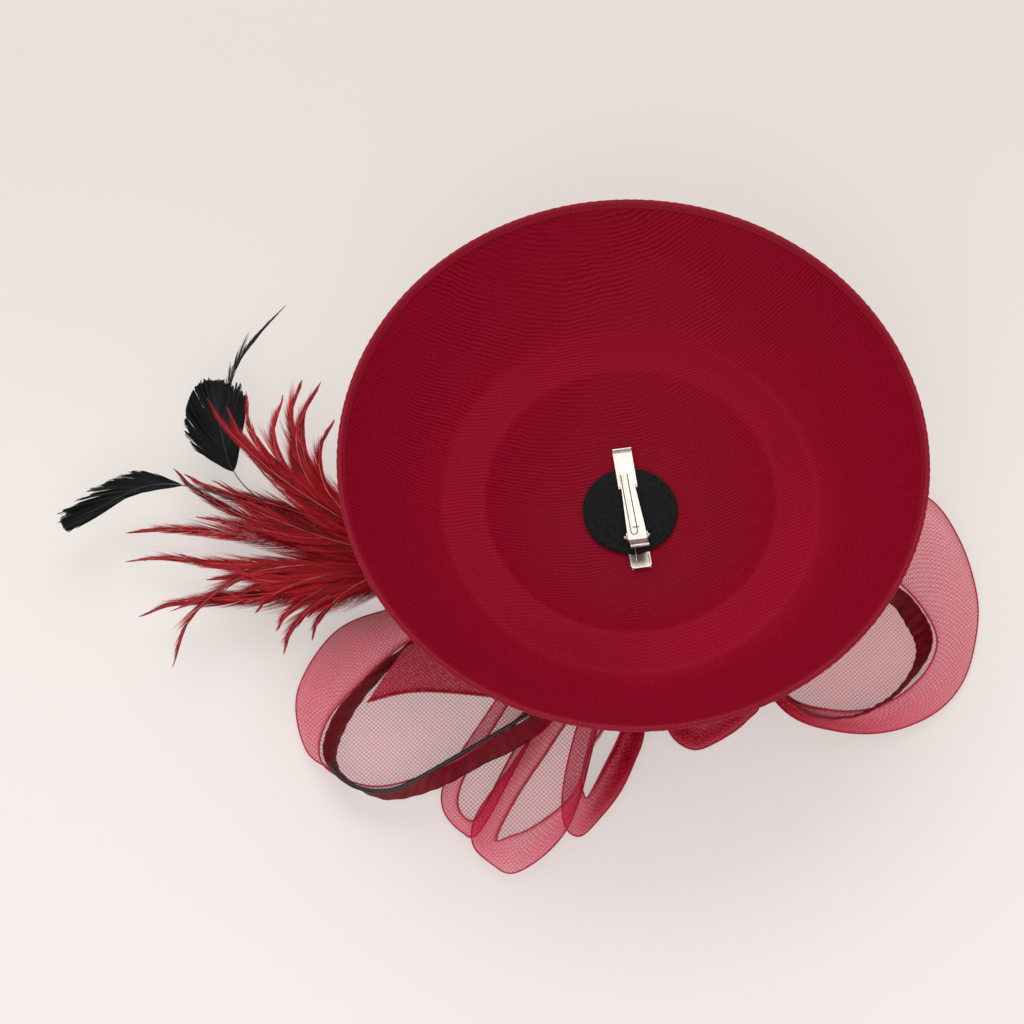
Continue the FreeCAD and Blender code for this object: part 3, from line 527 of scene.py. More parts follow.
# a bead pressed up round the prong's long tongue: down one side, round its end and up the other
TONGUE_END, TONGUE_LONG, TONGUE_HALF = np.array([1.6, -13.0]), 31, 1.5
round_end = np.radians(np.linspace(180, 360, 17))[:, None]
tongue = np.concatenate([
    TONGUE_END - PRONG_SIDE * TONGUE_HALF + PRONG_WAY * np.linspace(TONGUE_LONG, 1, 40)[:, None],
    TONGUE_END + TONGUE_HALF * (np.cos(round_end) * PRONG_SIDE + np.sin(round_end) * PRONG_WAY),
    TONGUE_END + PRONG_SIDE * TONGUE_HALF + PRONG_WAY * np.linspace(1, TONGUE_LONG, 40)[:, None]])
bead = laid_on_prong(tongue)
bead = bead[~np.isnan(bead[:, 2])]
# the bead is coloured darker and browner than the plate
bead_finish = flecked_finish("dark_bead", (500, 3), (0.3, srgb(96, 84, 76)), (0.7, srgb(150, 138, 128)),
                             gloss=(0.3, 800, 0.2), Metallic=1.0)
tongue_bead = new_piece("prong_bead", *tube(bead, 0.27 * MM), bead_finish, body=PRONG)

PIN_LOW, PIN_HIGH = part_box("clip_pin")
pin_middle = np.array((PIN_LOW + PIN_HIGH) / 2)
pin_way = np.array([PRONG_SIDE[0], PRONG_SIDE[1], 0])
pin_half = (PIN_HIGH.x - PIN_LOW.x) / 2 / np.cos(PRONG_TURN)
KNOB = 1.05 * MM
head = np.linspace(-1, 1, 17)
for hand, name in ((-1, "pin_head_left"), (1, "pin_head_right")):
    middle = pin_middle + hand * pin_way * pin_half
    ball = middle + pin_way * head[:, None] * KNOB
    knob = new_piece(name, *tube(ball, KNOB * np.sqrt(1 - 0.998 * head ** 2), 16), plate)

# the torsion spring: its lower leg lies in the jaw, its upper leg reaches up to the lever, and its coil
# turns round the pin between them
COIL_RADIUS, COIL_HALF, COIL_TURNS, SPRING_WIRE = 1.14, 1.65, 5.5, 0.5
wind = np.linspace(0, 2 * np.pi * COIL_TURNS, 260)
drift = np.linspace(-COIL_HALF, COIL_HALF, 260)
coil = np.stack([COIL_RADIUS * np.sin(wind), drift, -COIL_RADIUS * np.cos(wind)], axis=1)
low_leg = spread_along(np.array([(-11.35, -COIL_HALF, -3.6), (-8.3, -COIL_HALF, -1.98),
                                 (-0.1, -COIL_HALF, -COIL_RADIUS)]), 40)
high_leg = spread_along(np.array([(-0.1, COIL_HALF, COIL_RADIUS), (-2.5, COIL_HALF, 1.2),
                                  (-6.1, COIL_HALF, 3.85)]), 30)
along, across, up = np.concatenate([low_leg, coil, high_leg]).T[:, :, None] * MM
spring_path = pin_middle + along * np.append(PRONG_WAY, 0) + across * pin_way + up * np.array([0, 0, 1.0])
spring_tube = tube(spring_path, SPRING_WIRE / 2 * MM, 10, level=pin_way)
spring = new_piece("torsion_spring", *spring_tube, plate, body=None)
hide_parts("clip_spring")
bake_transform(spring)


# ---- The rosette and its backing ----
# A felt disc glued under the crown holds every stem and root. Over it sit three rings of satin
# ribbon, each gathered on a thread along one edge so that its other edge stands out in pleats.

backing = layer("backing_disc", "trim_backing", 2.5 * MM, 1.5 * MM, felt, reach=42 * MM)

ribbon, ribbon_shader, nodes = new_finish("ribbon_satin", Specular_IOR_Level=0.2)
way = nodes.make("UVMap", {"uv_map": "cloth"})
along = nodes.make("SeparateXYZ", None, {0: way}, out=0)
across = nodes.make("SeparateXYZ", None, {0: way}, out=1)
place = nodes.make("TexCoord", out=3)
grain = noise(nodes, place, 1500, 3, 0.6)
drawn_out = nodes.make("Mapping", None, {"Vector": way, "Scale": (1, 0.25, 1)})
crease = noise(nodes, drawn_out, 340, 3, 0.65)
rib = nodes.sum_of("SINE", (across + crease * 0.0012) * (2 * np.pi / (1.3 * MM)))
# painted shade: most of the tone follows the creases and ribs that make the bumps, darker in their hollows
# and lighter on their ridges
tone = crease * 0.75 + rib * 0.11 + grain * 0.2 + 0.02
drive(ramp(tone, (0.25, srgb(78, 4, 16)), (0.52, srgb(118, 14, 30)), (0.8, srgb(168, 30, 50))),
      ribbon_shader, "Base Color")
drive(0.36 + (grain - 0.5) * 0.25, ribbon_shader, "Roughness")
drive(bumped(nodes, crease * 1.4 + rib * 0.35 + grain * 0.2, 0.4 * MM, 0.8), ribbon_shader, "Normal")


def thicken(piece, thickness):
    """Gives a sheet its thickness, half to each side."""
    wall = piece.modifiers.new("thickness", "SOLIDIFY")
    wall.thickness, wall.offset = thickness, 0


RUFFLE_ROWS, RUFFLE_ROUND = 24, 900
HEM_ROOM, HEM_DROOP = 2.2 * MM, 1.8 * MM


def ruffle(node, inner, outer, pleats, seed):
    """A gathered ring: around the turn its radius swings between inner and outer, less at the sewn
    edge than at the free one, and the free edge rises and falls with the pleats."""
    low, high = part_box(node)
    turn = np.linspace(0, 2 * np.pi, RUFFLE_ROUND, endpoint=False)[None, :]
    fall = np.linspace(0, 1, RUFFLE_ROWS)[:, None]
    phase = pleats * turn + 1.3 * np.sin(3 * turn + seed) + 0.8 * np.sin(5 * turn + 2 * seed)
    swing = np.sin(phase) + 0.35 * np.sin(2 * phase + 1.1) * fall
    middle, reach = (inner + outer) / 2, (outer - inner) / 2 - 0.6 * MM
    radius = middle + reach * swing * (0.35 + 0.5 * fall ** 0.7) / 1.15 + reach * 0.25 * (fall - 0.5)
    droop = 0.5 + 0.5 * np.sin(phase * 0.5 + seed)
    height = high.z - (high.z - low.z - HEM_ROOM) * fall - HEM_DROOP * fall * droop
    points = np.stack([radius * np.cos(turn), radius * np.sin(turn), height + 0 * turn], axis=-1)
    cloth = np.stack([turn * middle * 1.6 + 0 * fall, fall * (high.z - low.z) + 0 * turn], axis=-1)
    faces = grid_faces(RUFFLE_ROWS, RUFFLE_ROUND, closed=True)
    piece = new_piece(node + "_ruffle", points, faces, ribbon, cloth=cloth)
    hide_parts(node)
    thicken(piece, 0.3 * MM)


for node, inner, outer, pleats, seed, ribbon_long in (("rosette_outer", 24.5, 37.6, 26, 0.4, 0.41),
                                                      ("rosette_inner", 10, 23.2, 17, 1.9, 0.27),
                                                      ("rosette_bud", 1.5, 8.8, 7, 3.1, 0.062)):
    ruffle(node, inner * MM, outer * MM, pleats, seed)


# ---- The crinoline petals ----
# Six loops of wide crinoline, an open diagonal mesh of fine nylon threads. Each is folded back on
# itself, pressed flat and sewn down at the rosette: it has an upper wall round an open mouth, and
# a single layer below.

mesh_cloth, mesh_shader, nodes = new_finish("crinoline", Specular_IOR_Level=0.05)
way = nodes.make("UVMap", {"uv_map": "cloth"})
weft = nodes.make("SeparateXYZ", None, {0: way}, out=0)
warp = nodes.make("SeparateXYZ", None, {0: way}, out=1)
density = nodes.make("Attribute", {"attribute_name": "shade"}, out=2)
stray = noise(nodes, nodes.make("TexCoord", out=3), 45, 2)
THREADS = 1.45 * MM


def thread(across_it):
    """How much of a thread lies here, for threads a pitch apart: a narrow peak in each pitch."""
    turn = nodes.sum_of("FRACT", across_it * (1 / THREADS) + 100)
    return eased(nodes.sum_of("ABSOLUTE", turn - 0.5), 0.06, 0.22, 1, 0)


first = thread(weft * 0.7071 + warp * 0.7071 + stray * 0.0016)
second = thread(weft * 0.7071 - warp * 0.7071 + stray * 0.0016)
threads = nodes.sum_of("MAXIMUM", first, second)
crossing = first * second
fine = noise(nodes, nodes.make("TexCoord", out=3), 1500, 2, 0.6)
cover_share = nodes.sum_of("MAXIMUM", threads * (0.48 + density * 0.35), density * (0.42 + fine * 0.95))
drive(nodes.sum_of("MINIMUM", cover_share + 0.06 + density * 0.12, 1), mesh_shader, "Alpha")
glint = eased(fine + crossing * 0.05, 0.72, 0.84)
dyed = ramp(density + crossing * 0.15, (0.0, srgb(240, 44, 96)), (0.4, srgb(246, 34, 98)),
            (0.7, srgb(204, 8, 58)), (1.0, srgb(148, 2, 32)))
drive(mixed(nodes, glint * 0.45, dyed, srgb(255, 200, 214)), mesh_shader, "Base Color")
drive(0.5 - crossing * 0.2, mesh_shader, "Roughness")
drive(bumped(nodes, threads + crossing, 0.3 * MM, 0.7), mesh_shader, "Normal")
selvedge = flecked_finish("selvedge", (1200, 3), (0.3, srgb(150, 6, 38)), (0.75, srgb(196, 40, 78)),
                          gloss=(0.35, 700, 0.2), Specular_IOR_Level=0.5)

TABLE = CAD_BOX[0][2] / MM
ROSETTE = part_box("rosette_outer")[1].x / MM
WALL_ROWS, LONG = 26, 300
UNDER = 1.6


def petal_plane(azimuth, near, far, outline):
    """Height over a petal's plan: near at the rosette and far at its farthest point."""
    out = np.array([np.cos(np.radians(azimuth)), np.sin(np.radians(azimuth))])
    reach = (np.asarray(outline) @ out).max()
    return lambda plan: TABLE + near - (near - far) * (plan @ out - ROSETTE) / (reach - ROSETTE)


def raised(plane, plan, height):
    return np.concatenate([plan, (plane(plan) + height)[..., None]], axis=-1)


def petal(name, plane, pairs, wall, dense, thickness, open_floor=False):
    """Two grids in one mesh. The wall runs along the loop and rises from its outer fold to the edge
    of its mouth as a quarter of an ellipse. The floor is ruled between the loop's two sides, or
    from the fold in to the mouth where the loop is open below. Dense gives the loop's density at
    even steps along it, and thickness is that of its lower layer."""
    pairs = np.array(pairs, float)
    outer, mouth = smooth_path(pairs[:, :2], LONG), smooth_path(pairs[:, 2:], LONG)
    rise = np.linspace(0, np.pi / 2, WALL_ROWS)[:, None, None]
    plan = outer + (mouth - outer) * (1 - np.cos(rise))
    ripple = 0.35 * np.sin(np.linspace(0, 60, LONG))[None] * np.sin(2 * rise[..., 0])
    points = raised(plane, plan, UNDER + (wall - UNDER) * np.sin(rise[..., 0]) + ripple)
    length = np.concatenate([[0], np.cumsum(np.linalg.norm(np.diff((outer + mouth) / 2, axis=0), axis=1))])
    width = np.linalg.norm(mouth - outer, axis=1) + wall * 0.6
    share = np.linspace(0, 1, WALL_ROWS)[:, None]
    cloth = np.stack([length[None] + 0 * share, share * width[None]], axis=-1)
    weight = np.interp(np.linspace(0, 1, LONG), np.linspace(0, 1, len(dense)), dense)[None]
    edge_in = width[None] * (1 - share)
    edge_out = width[None] * share
    shade = weight * (0.6 + 0.4 * np.sin(np.pi * share)) + 0.45 * np.exp(-(edge_in / 1.6) ** 2)
    shade += 0.4 * np.exp(-(edge_out / 2.2) ** 2)
    if open_floor:
        inward = np.linspace(0, 1, 14)[:, None, None]
        floor_plan = outer + (mouth - outer) * inward
    else:
        inward = np.linspace(0, 1, 40)[:, None, None]
        floor_plan = outer[:LONG // 2] + (outer[::-1][:LONG // 2] - outer[:LONG // 2]) * inward
    inward = inward[..., 0]
    sag = 0.9 * np.sin(np.pi * inward) ** 0.5
    wave = 0.25 * np.sin(floor_plan[..., 0] / 7) * np.sin(np.pi * inward)
    floor = raised(plane, floor_plan, UNDER - sag + wave)
    rim = np.exp(-(np.minimum(inward, 1 - inward) * 30) ** 2)
    floor_shade = thickness + 0.3 * rim + 0 * floor_plan[..., 0]
    rows, columns = floor_plan.shape[:2]
    floor_faces = grid_faces(rows, columns)[:, ::-1] + WALL_ROWS * LONG
    faces = np.concatenate([grid_faces(WALL_ROWS, LONG), floor_faces])
    both = np.concatenate([points.reshape(-1, 3), floor.reshape(-1, 3)])
    both_cloth = np.concatenate([cloth.reshape(-1, 2), floor_plan.reshape(-1, 2)])
    both_shade = np.clip(np.concatenate([shade.ravel(), floor_shade.ravel()]), 0, 1)
    petal_cloth = new_piece(name + "_mesh", both * MM, faces, mesh_cloth, cloth=both_cloth * MM,
                            shade=both_shade)
    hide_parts(name)
    for part, line, height, radius in (("mouth", mouth, wall, 0.42), ("fold", outer, 1.8, 0.34)):
        path = raised(plane, line, height + 0.2)[::2] * MM
        edge = new_piece(f"{name}_{part}_edge", *tube(path, radius * MM), selvedge)


PETALS = {
    # name: (azimuth, height over the table at the rosette and at the tip, wall, the cut strip, the
    # density of its lower layer, densities along its wall, then where the fold and the mouth run)
    "petal_left": (212, 29, 0.8, 13, (0.19, 0.08), 0.05, (0.9, 0.7, 0.45, 0.25, 0.22, 0.4, 0.8), [
        (-28, -24, -26, -30), (-80, -35, -66, -42), (-115, -38, -102, -58), (-139, -48, -124, -76),
        (-155, -75, -139, -92), (-151, -102, -144, -108), (-138, -114, -138, -119),
        (-119, -126, -118, -127), (-92, -122, -95, -123), (-70, -110, -72, -112),
        (-44, -86, -46, -92), (-20, -33, -24, -44)]),
    "petal_front_left": (242, 14, 0.8, 8, (0.13, 0.04), 0.08, (0.6, 0.4, 0.3, 0.4, 0.6, 0.6), [
        (-26, -22, -26, -30), (-62, -80, -56, -84), (-84, -115, -74, -114), (-87, -132, -80, -131),
        (-78, -144, -76, -140), (-70, -144, -70, -138), (-54, -115, -58, -115), (-37, -80, -42, -84),
        (-20, -29, -22, -34)]),
    "petal_front": (250, 27, 6, 8, (0.172, 0.04), 0.12, (0.8, 0.75, 0.6, 0.5, 0.22, 0.5, 0.8, 0.8), [
        (-8, -33, -8, -40), (-32, -80, -18, -78), (-54, -114, -36, -108), (-71, -138, -52, -132),
        (-73, -152, -62, -152), (-65, -161, -55, -151), (-54, -166, -47, -148),
        (-37, -155, -34, -139), (-26, -138, -25, -128), (-17, -105, -20, -110), (0, -34, -3, -42)]),
    "petal_front_ring": (262, 14, 0.8, 7, (0.112, 0.04), 0.3, (0.5, 0.3, 0.35, 0.8, 1, 1, 1), [
        (-2, -34, -2, -46), (-22, -85, -9, -88), (-31, -120, -19, -107), (-31, -140, -23, -121),
        (-24, -146, -21, -130), (-15, -138, -17, -124), (-5, -125, -12, -114), (2, -110, -7, -104),
        (6, -98, -3, -94), (9, -70, 2, -78), (4, -34, 2, -46)]),
    # this petal's mesh is densest and darkest all along, partly a painted shadow of the saucer's rim above
    # it
    "petal_front_right": (290, 14, 0.8, 7, (0.107, 0.04), 0.3, (1, 1, 0.9, 0.9, 1, 1), [
        (13, -32, 16, -40), (14, -75, 22, -70), (18, -95, 28, -84), (29, -103, 33, -88),
        (42, -98, 40, -86), (54, -89, 46, -80), (60, -78, 48, -72), (44, -52, 36, -52),
        (22, -26, 22, -36)]),
    "petal_right": (340, 29, 0.8, 10, (0.25, 0.08), 0.24, (0, 0, 0, 0.08, 0.26, 0.6, 0.95, 0.95), [
        (32, -8, 34, -14), (80, 10, 76, -10), (120, 26, 106, -14), (143, 22, 124, -24),
        (157, 2, 136, -36), (164, -24, 143, -50), (163, -45, 141, -62), (156, -68, 133, -74),
        (142, -85, 121, -84), (120, -96, 107, -90), (96, -98, 90, -91), (72, -91, 72, -86),
        (54, -66, 52, -64), (28, -24, 30, -24)]),
}
PLANES = {}
for name, (azimuth, near, far, wall, flat, thickness, dense, pairs) in PETALS.items():
    plane = PLANES[name] = petal_plane(azimuth, near, far, [row[:2] for row in pairs])
    petal(name, plane, pairs, wall, dense, thickness, open_floor=name == "petal_front_ring")

# the left loop's far wall, seen through its mouth: a ruled strip down to the cloth's own edge
FAR_WALL = [
    (-97, -48, -122, -86), (-92, -46, -107, -83), (-86, -46, -92, -83), (-76, -50, -66, -87),
    (-62, -50, -44, -92)]
far_wall = np.array(FAR_WALL, float)
top_line, low_line = smooth_path(far_wall[:, :2], 120), smooth_path(far_wall[:, 2:], 120)
share = np.linspace(0, 1, 40)[:, None, None]
plan = top_line + (low_line - top_line) * share
points = raised(PLANES["petal_left"], plan, 9 + 2.5 * share[..., 0] + 1.5 * np.sin(np.pi * share[..., 0]))
shade = 0.82 + 0.18 * np.exp(-((1 - share[..., 0]) * 24) ** 2) + 0 * plan[..., 0]
inner = new_piece("petal_left_far_wall", points * MM, grid_faces(40, 120)[:, ::-1], mesh_cloth,
                  cloth=plan * MM, shade=shade)
inner_edge = new_piece("petal_left_far_edge", *tube(points[-1][::2] * MM, 0.4 * MM), selvedge)


# ---- The ribbon loops and the piping ----
# Two loops of ribbed satin ribbon stand on their edges inside the outer petals. A glossy black
# cord is sewn along the front edge of the left one.

def ribbon_loop(node, plane, pairs, height, count=260):
    """A band between a lower and an upper line, a little hollow across, with fine gathers along it."""
    pairs = np.array(pairs, float)
    foot, head = smooth_path(pairs[:, :2], count), smooth_path(pairs[:, 2:], count)
    climb = np.linspace(0, 1, 14)[:, None]
    plan = foot + (head - foot) * climb[..., None]
    way = np.gradient(foot, axis=0)
    side = np.stack([-way[:, 1], way[:, 0]], axis=1) / np.linalg.norm(way, axis=1, keepdims=True)
    gather = 0.18 * np.sin(np.linspace(0, 150, count) + 2 * np.sin(np.linspace(0, 17, count)))
    hollow = 0.9 * np.sin(np.pi * climb)
    plan = plan + side * (hollow + gather * (1 - 0.4 * climb))[..., None]
    length = np.concatenate([[0], np.cumsum(np.linalg.norm(np.diff(foot, axis=0), axis=1))])
    points = raised(plane, plan, 0.9 + (height - 0.9) * climb)
    cloth = np.stack([length[None] + 0 * climb, climb * height + 0 * length[None]], axis=-1)
    piece = new_piece(node + "_satin", points * MM, grid_faces(14, count), ribbon, cloth=cloth * MM)
    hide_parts(node)
    thicken(piece, 0.35 * MM)


LEFT_BAND = [
    (-54, -30, -60, -38), (-97, -49, -112, -66), (-111, -65, -125, -78), (-125, -81, -136, -90),
    (-134, -97, -142, -106), (-136, -110, -139, -117), (-127, -122, -127, -127),
    (-112, -129, -108, -129), (-92, -126, -90, -122), (-72, -117, -72, -111), (-38, -98, -44, -96),
    (-24, -60, -26, -60)]
RIGHT_BAND = [
    (60, -20, 58, -22), (95, -18, 98, -14), (121, -31, 126, -29), (130, -43, 137, -41),
    (134, -53, 141, -52), (132, -63, 138, -63), (125, -74, 130, -74), (116, -82, 120, -84),
    (100, -90, 102, -94), (78, -88, 78, -92), (50, -60, 50, -62)]
ribbon_loop("ribbon_loop_left", PLANES["petal_left"], LEFT_BAND, 14)
ribbon_loop("ribbon_loop_right", PLANES["petal_right"], RIGHT_BAND, 12)

cord_skin = flecked_finish("black_cord", (600, 3), (0.3, srgb(12, 12, 13)), (0.8, srgb(34, 34, 36)),
                           gloss=(0.2, 900, 0.2), Specular_IOR_Level=0.4)
PIPING_PLAN = [(-139, -115), (-135, -121), (-127, -127), (-116, -130), (-104, -128), (-79, -115),
               (-62, -106), (-44, -96)]
CORD_POINTS, CORD_RADIUS, CORD_HEIGHT = 200, 1.05 * MM, 14.6
piping_path = raised(PLANES["petal_left"], smooth_path(PIPING_PLAN, CORD_POINTS), CORD_HEIGHT)
bound = np.clip((np.linspace(0, 1, CORD_POINTS) - 0.55) * 4, 0, 1)
pinched = 1 - 0.25 * bound * (0.5 + 0.5 * np.sin(np.linspace(0, 560, CORD_POINTS)))
piping = new_piece("piping_cord", *tube(piping_path * MM, CORD_RADIUS * pinched, 12), cord_skin)
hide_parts("ribbon_piping")


# ---- The bound stems ----
# The feathers' stems lie side by side in layers, wound together with dark cloth tape from the
# rosette to where the feathers part.

tape, tape_shader, nodes = new_finish("stem_tape", Specular_IOR_Level=0.3)
place = nodes.make("TexCoord", out=3)
grain = noise(nodes, place, 1200, 3, 0.6)
drive(ramp(grain, (0.3, srgb(40, 10, 14)), (0.7, srgb(74, 20, 26))), tape_shader, "Base Color")
drive(0.6 + grain * 0.2, tape_shader, "Roughness")
drive(bumped(nodes, grain, 0.2 * MM, 0.6), tape_shader, "Normal")
STEM_LOW, STEM_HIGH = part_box("feather_binding")
STEM_ROWS, STEM_ROUND, STEM_FIT = 260, 40, 0.96
length_share = np.linspace(0, 1, STEM_ROWS)[:, None]
turn = np.linspace(0, 2 * np.pi, STEM_ROUND, endpoint=False)[None, :]
wound = 1 + 0.035 * (np.mod(length_share * 17 + turn / (2 * np.pi), 1) - 0.5)
closing = np.clip(np.minimum(length_share, 1 - length_share) * 30, 0, 1) ** 0.5 * wound
half_wide = (STEM_HIGH.y - STEM_LOW.y) / 2 * STEM_FIT
half_deep = (STEM_HIGH.z - STEM_LOW.z) / 2 * STEM_FIT
centre = (STEM_HIGH + STEM_LOW) / 2
bundle = np.stack([STEM_LOW.x + length_share * (STEM_HIGH.x - STEM_LOW.x) + 0 * turn,
                   centre.y + half_wide * closing * np.cos(turn),
                   centre.z + half_deep * closing * np.sin(turn)], axis=-1)
stems = new_piece("stem_binding", bundle, grid_faces(STEM_ROWS, STEM_ROUND, closed=True), tape)
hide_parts("feather_binding")


# ---- The feathers ----
# Nineteen dyed red hackles, twelve short ones that fill the bunch and three black feathers, bound
# in at their roots. Each is a tapered quill with hundreds of barbs on both sides, which cling
# together in small locks and part between them.

def feather_finish(name, deep, middle, bright, gloss, clear_tips):
    """Dyed barbs: each has its own shade, deeper at the quill and brighter towards its tip, where it
    lets light through."""
    made, shader, nodes = new_finish(name, Specular_IOR_Level=gloss)
    own = nodes.make("Attribute", {"attribute_name": "shade"}, out=2)
    out_along = nodes.make("SeparateXYZ", None, {0: nodes.make("UVMap", {"uv_map": "cloth"})}, out=0)
    tone = own * 0.75 + out_along * 0.3
    drive(ramp(tone, (0.1, deep), (0.5, middle), (0.95, bright)), shader, "Base Color")
    drive(0.55 - own * 0.15, shader, "Roughness")
    drive(eased(out_along, 0.35, 1, 1, clear_tips), shader, "Alpha")
    return made


red_dye = feather_finish("red_hackle", srgb(68, 0, 6), srgb(150, 5, 18), srgb(214, 46, 60), 0.12, 0.5)
black_dye = feather_finish("black_feather", srgb(4, 4, 5), srgb(10, 11, 12), srgb(34, 36, 38), 0.14, 0.9)
horn = flecked_finish("red_quill", (90, 2), (0.3, srgb(150, 24, 34)), (0.7, srgb(216, 112, 108)),
                      gloss=(0.3, 500, 0.15), Specular_IOR_Level=0.5)
dark_horn = flecked_finish("black_quill", (90, 2), (0.3, srgb(20, 20, 22)), (0.7, srgb(60, 60, 62)),
                           gloss=(0.3, 500, 0.15), Specular_IOR_Level=0.5)
BARB_STEPS, QUILL_STEPS = 6, 120


def pointed(share):
    """A hackle's half width along its vane: a quick swell, then a long taper to a point."""
    return np.clip(share / 0.24, 0, 1) ** 0.7 * np.clip(1 - share, 0, 1) ** 0.85


def rounded(share):
    """An egg that is widest past its middle and has a round end."""
    return np.sin(np.pi * np.clip(share, 0, 1) ** 1.35) ** 0.55


def torn(share):
    """A slim blade with a short, uneven end."""
    ragged = 1.0 - 0.03 * (1 + np.sin(share * 90))
    return np.clip(share / 0.3, 0, 1) ** 0.8 * np.clip((ragged - share) / 0.06, 0, 1) ** 0.45


def feather(node, seed, path, half_width, finish, quill_finish, outline=pointed, bare=0.04,
            slant=(32, 16), barbs=560, strand=0.18, fine=0.80, loose=0.8, rough=1.0, stem=0.5):
    """Barbs leave a curved quill at an angle that closes towards the tip, bend towards the tip, and
    end where they meet the vane's outline, which halving the step finds for all of them at once.
    The outer part of each draws in to the middle of its lock."""
    draw = np.random.default_rng(seed)
    quill = spread_along(smooth_path(path, 400), QUILL_STEPS)
    way = np.gradient(quill, axis=0)
    way /= np.linalg.norm(way, axis=1, keepdims=True)
    side = np.cross((0, 0, 1.0), way)
    side /= np.linalg.norm(side, axis=1, keepdims=True)
    tilt = np.radians(draw.uniform(-25, 25))
    side = side * np.cos(tilt) + np.cross(way, side) * np.sin(tilt)
    lift = np.cross(way, side)
    vane_length = (1 - bare) * np.linalg.norm(np.diff(quill, axis=0), axis=1).sum()
    own_depth = draw.normal(0, 0.10)
    pieces, shades, cloths = [], [], []
    for hand in (1, -1):
        place = bare + (1 - bare) * np.linspace(0, 1, barbs)
        place = np.clip(place + draw.normal(0, 0.002, barbs), 0, 1)
        at, steps = place * (QUILL_STEPS - 1), np.arange(QUILL_STEPS)
        root, along, out, up = [
            np.stack([np.interp(at, steps, rows[:, axis]) for axis in range(3)], axis=1)
            for rows in (quill, way, side * hand, lift)]
        reach = (place - bare) / (1 - bare)
        angle = np.radians(slant[0] + (slant[1] - slant[0]) * reach) * draw.normal(1, 0.06 * rough, barbs)
        cuts = np.cumsum(draw.integers(4, 22, barbs))
        lock = np.searchsorted(cuts, np.arange(barbs))
        mood = draw.normal(0, 1, lock.max() + 1)[lock]
        bend = 0.40 + 0.08 * rough * mood
        outward, onward = np.maximum(np.sin(angle) - 0.3 * bend, 0.06), np.cos(angle) + 0.5 * bend
        short, long = np.zeros(barbs), np.full(barbs, 2 * vane_length)
        for _ in range(24):
            length = (short + long) / 2
            inside = length * outward < half_width * outline(reach + length * onward / vane_length)
            short, long = np.where(inside, length, short), np.where(inside, long, length)
        length = (length + 0.4) * (1 + rough * draw.uniform(-0.3, 0.08, barbs)) * (1 + 0.12 * rough * mood)
        step = np.linspace(0, 1, BARB_STEPS + 1)[None, :, None]
        heading = along * np.cos(angle)[:, None] + out * np.sin(angle)[:, None]
        flutter = 0.10 * mood[:, None, None] + draw.normal(0, 0.02, (barbs, 1, 1)) + 0.06
        line = root[:, None] + length[:, None, None] * (
            heading[:, None] * step
            + (along[:, None] * 0.5 - out[:, None] * 0.3) * bend[:, None, None] * step ** 2
            + up[:, None] * flutter * step ** 2)
        tips = line[:, -1]
        count = np.bincount(lock)[:, None]
        middle = np.stack([np.bincount(lock, tips[:, k]) for k in range(3)], axis=1) / count
        pull = (1 - loose) * draw.uniform(0.5, 1, lock.max() + 1)[lock]
        line += (middle[lock] - tips)[:, None] * pull[:, None, None] * step ** 1.6
        flat = np.gradient(line, axis=1)
        across = np.cross(flat, up[:, None])
        across /= np.linalg.norm(across, axis=2, keepdims=True) + 1e-9
        taper = strand / 2 * (1.0 - fine * step ** 1.5)
        pieces.append(np.stack([line - across * taper, line + across * taper], axis=2).reshape(-1, 3))
        own_shade = np.clip(0.48 + own_depth + 0.2 * mood + draw.normal(0, 0.12, barbs), 0, 1)
        shades.append(own_shade[:, None, None] * np.ones((1, BARB_STEPS + 1, 2)))
        cloths.append(np.broadcast_to(np.stack([step[..., 0], 0 * step[..., 0]], axis=-1)[:, :, None],
                                      (barbs, BARB_STEPS + 1, 2, 2)).reshape(-1, 2))
    ladder = grid_faces(BARB_STEPS + 1, 2)
    starts = (np.arange(2 * barbs) * 2 * (BARB_STEPS + 1))[:, None, None]
    faces = (ladder[None] + starts).reshape(-1, 4)
    vane = new_piece(node + "_vane", np.concatenate(pieces) * MM, faces, finish,
                     cloth=np.concatenate(cloths), shade=np.concatenate(shades).ravel())
    thin = stem * (1 - 0.85 * np.linspace(0, 1, 60)) * MM
    shaft = new_piece(node + "_quill", *tube(smooth_path(path, 60) * MM, thin, 6), quill_finish)
    if node in frame["nodes"]:
        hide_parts(node)


ROOT_X, ROOT_Y, ROOT_TOP, PITCH = -100, -22, -6.5, 0.85


def quill_path(tip, bow, layer, curl=0.0, lift=0.0, tip_height=0.0):
    """Five points from the binding to the tip: a shallow bow to the left by its share of the
    length, whose last third turns by the curl, each layer a little lower than the last."""
    root, tip = np.array([ROOT_X, ROOT_Y], float), np.array(tip, float)
    run = tip - root
    left = np.array([-run[1], run[0]])
    share = np.array([0, 0.3, 0.6, 0.85, 1])[:, None]
    plan = root + run * share + left * (4 * bow * share * (1 - share) + curl * share ** 3 * (1 - share) * 4)
    droop = np.radians(-2 + 0.4 * layer)
    height = ROOT_TOP - (layer + 1) * PITCH + np.linalg.norm(run) * share * np.sin(-droop)
    height = height + 4 * lift * share * (1 - share) + tip_height * share ** 2
    return np.concatenate([plan, height], axis=1)


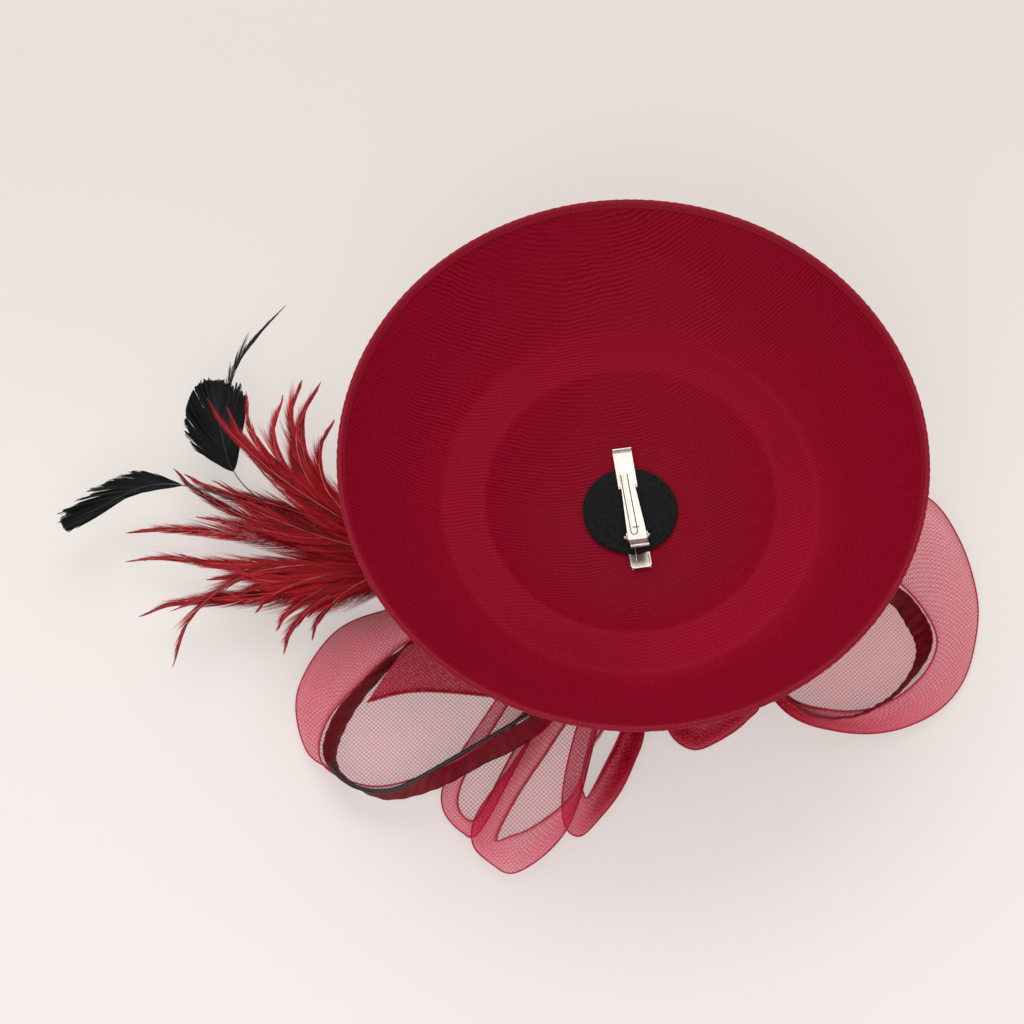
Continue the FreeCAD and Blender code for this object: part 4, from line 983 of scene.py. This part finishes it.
RED = [
    # tip in plan, bow, curl, half width
    ((-147, -64), -0.10, -0.12, 10), ((-139, 50), 0.16, 0.25, 10), ((-160, -70), -0.10, -0.14, 10),
    ((-151, 62), 0.14, 0.24, 11), ((-164, -57), -0.08, -0.12, 11), ((-146, 73), 0.16, 0.22, 11),
    ((-174, -47), -0.06, -0.15, 12), ((-155, 76), 0.12, 0.20, 11), ((-185, -22), 0.04, 0.15, 12),
    ((-164, 69), 0.12, 0.24, 12), ((-212, -71), -0.16, -0.24, 9), ((-197, 26), -0.05, 0.08, 13),
    ((-214, -41), 0.04, -0.12, 12), ((-210, 31), -0.04, 0.10, 12), ((-229, -42), 0.06, -0.16, 11),
    ((-216, 36), 0.03, 0.10, 12), ((-212, -9), -0.03, 0.12, 13), ((-237, -11), 0.05, -0.12, 10),
    ((-238, 5), -0.04, -0.04, 11)]
for order, (tip, bow, curl, half_width) in enumerate(RED):
    path = quill_path(tip, bow, order, curl)
    feather(f"red_hackle_{order + 1:02d}", 40 + order, path, half_width, red_dye, horn)

# short hackles that fill the bunch between the long ones, some over the round black blade
SHORT = [
    ((-199, 60), 0.05, 0.06, 8), ((-190, 57), 0.08, 0.05, 9), ((-181, 66), 0.10, 0.14, 8),
    ((-176, 44), 0.06, 0.04, 12), ((-160, 40), 0.10, 0.10, 12), ((-186, 14), 0.02, 0.05, 14),
    ((-180, 0), 0.0, 0.0, 14), ((-186, -38), -0.05, -0.08, 13), ((-150, -46), -0.06, -0.06, 11),
    ((-204, 8), 0.02, -0.05, 12), ((-198, -24), 0.03, -0.06, 12), ((-150, 26), 0.10, 0.10, 11)]
for order, (tip, bow, curl, half_width) in enumerate(SHORT):
    path = quill_path(tip, bow, order * 1.4, curl)
    feather(f"red_filler_{order + 1:02d}", 80 + order, path, half_width, red_dye, horn,
            loose=0.9, stem=0.3)
LONG_PATH = [(-100, -22, -24), (-150, 2, -22), (-192, 17, -19), (-213, 22, -18), (-228, 21, -18),
             (-241, 15, -18), (-254, 8, -19), (-268, 3, -20)]
ROUND_PATH = [(-100, -22, -25), (-140, -2, -23), (-172, 14, -20), (-187, 30, -18), (-193, 50, -17),
              (-198, 76, -17)]
SLIM_PATH = [(-100, -22, -26), (-145, 4, -24), (-176, 34, -21), (-190, 62, -18), (-188, 82, -17),
             (-178, 99, -16), (-164, 116, -15)]
feather("black_feather_long", 71, LONG_PATH, 4.9, black_dye, dark_horn, outline=torn,
        bare=0.66, slant=(30, 5), barbs=900, loose=0.97, rough=0.15, strand=0.42, fine=0.5)
feather("black_feather_round", 72, ROUND_PATH, 15, black_dye, dark_horn, outline=rounded,
        bare=0.68, slant=(56, 8), barbs=1300, loose=0.98, rough=0.08, strand=0.5, fine=0.4)
feather("black_feather_slim", 73, SLIM_PATH, 2.6, black_dye, dark_horn,
        bare=0.70, slant=(24, 12), barbs=260, loose=0.4, rough=1.4)
